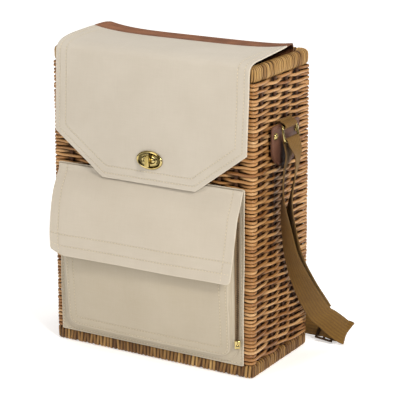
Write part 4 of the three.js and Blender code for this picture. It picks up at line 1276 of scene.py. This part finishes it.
def makeRing(side, word):
    # a bevelled rectangle of round wire
    a = anchor
    top, foot = (Vector((a[key][0], 0, a[key][1])) for key in ("ringTop", "ringFoot"))
    fall = (foot - top).normalized()
    across = Vector((0, 1, 0))
    ring = started("brassRing" + word, bpy.ops.mesh.primitive_plane_add, size=2 * mm)
    bpy.ops.transform.resize(value=(a["ringHalf"], (foot - top).length / 2, 1))
    bpy.ops.mesh.delete(type="ONLY_FACE")
    bpy.ops.mesh.select_all(action="SELECT")
    bpy.ops.mesh.bevel(offset=a["ringCorner"] * mm, segments=6, affect="VERTICES")
    editing(False)
    seat = Matrix.Translation((top + foot) / 2 * mm) @ axesOf(across, fall, across.cross(fall))
    ring.matrix_world = Matrix.Scale(side, 4, Vector((1, 0, 0))) @ seat
    placed()
    bpy.ops.object.convert(target="CURVE")
    wire = bpy.context.object.data
    wire.dimensions = "3D"
    wire.bevel_depth = a["ringWire"] * mm
    wire.bevel_resolution = 4
    bpy.ops.object.convert(target="MESH")
    editing(True)
    faceOut()
    ring = coated(bpy.context.object, brass, 180)
    settle(ring, ["strap_ring_" + word.lower()])


def makeAnchors():
    a = anchor
    for side, word in ((1, "Right"), (-1, "Left")):
        makeShield(side, word)
        for y, place in ((-a["rivetY"], "front"), (a["rivetY"], "back")):
            name = "rivetHead" + word + place.capitalize()
            rings = [(r, r, side * height) for r, height in a["rivet"]]
            rivet = ringStack(name, (side * a["rivetX"], y, a["rivetZ"]), rings, 0, 32, brass, angle=50)
            settle(rivet, ["rivet_" + word.lower() + "_" + place])
        makeRing(side, word)
        t = np.linspace(0, 1, 91)
        middle = np.stack([side * smoothRow(a["tabRows"], 0, t), 0 * t, smoothRow(a["tabRows"], 1, t)], -1)
        tab = webbingPiece("webbingTab" + word, middle, np.tile([0.0, 1.0, 0.0], (91, 1)), a["tabWidth"])
        settle(tab, ["strap_tab_" + word.lower()])
    print("anchors made")


# Shoulder strap
strap = {
    "width": 32, "thick": 1.6, "ribs": 8, "ribDepth": 0.3, "barReach": 3.1,
    "doubled": [  # x, y, z, heading, tilt, spread
        (160.6, 0, 297, 90, 0, 3.1), (161.4, -0.6, 290, 92, 0, 4.6), (165.4, -7, 276, 107, 0, 6.2),
        (168, -18, 256, 114, 0, 7), (167.5, -22, 228, 121, 0, 5), (166.6, -17, 195, 139, 0, 3.5),
        (169.1, -6.8, 152, 152, -6, 3), (170.5, 23.5, 102, 170, -22, 2.8), (173.2, 61.2, 54.9, 188, -40, 2.8),
    ],
    "fold": [
        (181.2, 73.6, 39.5, 204, -44), (188.8, 86, 26.4, 230, -43), (194.2, 94.2, 18.4, 247, -42),
        (196.4, 98.4, 16, 252, -43), (194.8, 101.8, 15.6, 256, -46), (189.4, 104.4, 15.4, 260, -50),
    ],
    "behind": [
        (132.7, 108.4, 16.8, 262, -70), (88.8, 110.2, 16.6, 264, -82), (0, 107.5, 16.6, 270, -86),
        (-90, 109.5, 16.6, 280, -84), (-140, 110.5, 17.4, 296, -78), (-168, 99, 25, 330, -66),
        (-174, 70, 50, 354, -46), (-173, 33, 95, 368, -22), (-170, 6, 142, 390, -6), (-167.6, -2, 187, 412, 0),
        (-166.6, -3, 232, 432, 0), (-165.8, -1, 270, 446, 0), (-163.7, 0, 297, 450, 0),
    ],
    "sewnEnd": [(-157.5, 0, 297, 450, 0), (-160.8, -1, 270, 446, 0), (-163.2, -2, 243, 436, 0)],
    "slider": {
        "at": (167.6, 103.2, 17.6), "heading": 262, "tilt": -50, "halfAcross": 18.5, "endBar": 1.4, "pitch": 11.6,
        "bar": 1.5, "thick": 2.4, "round": 0.7, "weave": 3,
    },
}


def acrossWay(heading, tilt):
    turn, lean = np.radians(heading), np.radians(tilt)
    return np.stack([np.cos(lean) * np.cos(turn), np.cos(lean) * np.sin(turn), np.sin(lean)], -1)


def tableRun(rows, perRow):
    t = np.linspace(0, 1, (len(rows) - 1) * perRow + 1)
    middle = np.stack([smoothRow(rows, k, t) for k in range(3)], -1)
    return middle, acrossWay(smoothRow(rows, 3, t), smoothRow(rows, 4, t))


def strand(side):
    rows = []
    for x, y, z, heading, tilt, spread in strap["doubled"]:
        turn = math.radians(heading)
        rows.append((x + side * spread * math.sin(turn), y - side * spread * math.cos(turn), z, heading, tilt))
    return rows


def overBar(side):
    turn = np.radians(np.linspace(20, 160, 15))
    reach = strap["barReach"]
    barX, barZ = anchor["ringFoot"]
    middle = np.stack([side * (barX + reach * np.cos(turn)), 0 * turn, barZ + reach * np.sin(turn)], -1)
    return middle, np.tile([0.0, 1.0, 0.0], (15, 1))


def webbingPiece(name, middle, across, width):
    # ribbed band along stations of a middle point and the way across
    n = len(middle)
    ends = np.concatenate([middle[:1], middle, middle[-1:]])
    heading = unit(ends[2:] - ends[:-2])
    across = unit(across - heading * (across * heading).sum(-1, keepdims=True))
    ribs, deep = strap["ribs"], strap["ribDepth"]
    w = np.linspace(-0.5, 0.5, ribs * 4 + 1)
    crest = 0.5 - 0.5 * np.cos(2 * math.pi * ribs * (w + 0.5))
    half = strap["thick"] / 2 - deep + deep * crest
    half[[0, -1]] = deep
    side = np.concatenate([w, w[::-1]]) * width
    rise = np.concatenate([half, -half[::-1]])
    points = hoops(middle, across, np.cross(heading, across), side[None], rise[None])
    k = len(side)
    j = np.arange(len(w) - 1)
    end = np.stack([j, j + 1, k - 2 - j, k - 1 - j], -1)
    quads = np.concatenate([ringQuads(n, k, False), end[:, ::-1], end + (n - 1) * k])
    cut = tubeCut(lengths(middle), side)[:, ::-1]
    rib = np.tile(np.concatenate([crest, crest[::-1]]) * deep * mm, n)
    return makePiece(name, points, quads, webbing, cut, {"edge": rib}, sharp=60)


def sliderAxes():
    s = strap["slider"]
    across = acrossWay(s["heading"], s["tilt"])
    along = np.array([1.0, 0, 0])
    along = unit(along - across * along.dot(across))
    outward = unit(np.cross(along, across))
    return along, across, outward if outward[1] > 0 else -outward


def layStrap(name, node, runs):
    middle, across = (np.concatenate(part) for part in zip(*runs))
    settle(webbingPiece(name, middle, across, strap["width"]), [node])


def makeStrap():
    s = strap["slider"]
    outer = tableRun(strand(1), 12)
    inner = tableRun(strand(-1) + strap["fold"], 12)
    layStrap("strapDoubled", "strap_loop", [[part[::-1] for part in outer], overBar(1), inner])

    along, over, outward = sliderAxes()
    threaded = []
    for place in (1.4, 1, 0.5, 0, -0.5, -1, -1.5):
        lift = -math.cos(math.pi * min(abs(place), 1)) * s["weave"]
        at = np.array(s["at"]) + along * place * s["pitch"] + outward * lift
        threaded.append((*at, s["heading"], s["tilt"]))
    behind = tableRun(threaded + strap["behind"], 11)
    layStrap("strapMain", "strap_main", [behind, overBar(-1), tableRun(strap["sewnEnd"], 11)])

    # three-bar slider: a plate with two slots, its edges rounded
    grid = {"x_subdivisions": 2, "y_subdivisions": 1, "size": 2 * mm}
    plate = started("strapSliderFrame", bpy.ops.mesh.primitive_grid_add, **grid)
    bpy.ops.transform.resize(value=(s["pitch"], s["halfAcross"], 1))
    bpy.ops.mesh.select_all(action="SELECT")
    bpy.ops.mesh.inset(thickness=s["bar"] * mm, use_individual=True)
    bpy.ops.mesh.delete(type="FACE")
    editing(False)
    for corner in plate.data.vertices:  # outer edge stands a bar further out
        if abs(corner.co.x) > (s["pitch"] - 0.1) * mm:
            corner.co.x += math.copysign(s["bar"] * mm, corner.co.x)
        if abs(corner.co.y) > (s["halfAcross"] - 0.1) * mm:
            corner.co.y += math.copysign(s["endBar"] * mm, corner.co.y)
    applied(plate, "SOLIDIFY", thickness=s["thick"] * mm, offset=0)
    applied(plate, "BEVEL", width=s["round"] * mm, segments=3)
    plate.matrix_world = Matrix.Translation(Vector(s["at"]) * mm) @ axesOf(along, over, np.cross(along, over))
    placed()
    settle(coated(plate, oldMetal, 40), ["strap_slider"])
    print("strap laid")


makeBand()
makeFlap()
makeLock()
makePocket()
makeZip()
makeAnchors()
makeStrap()
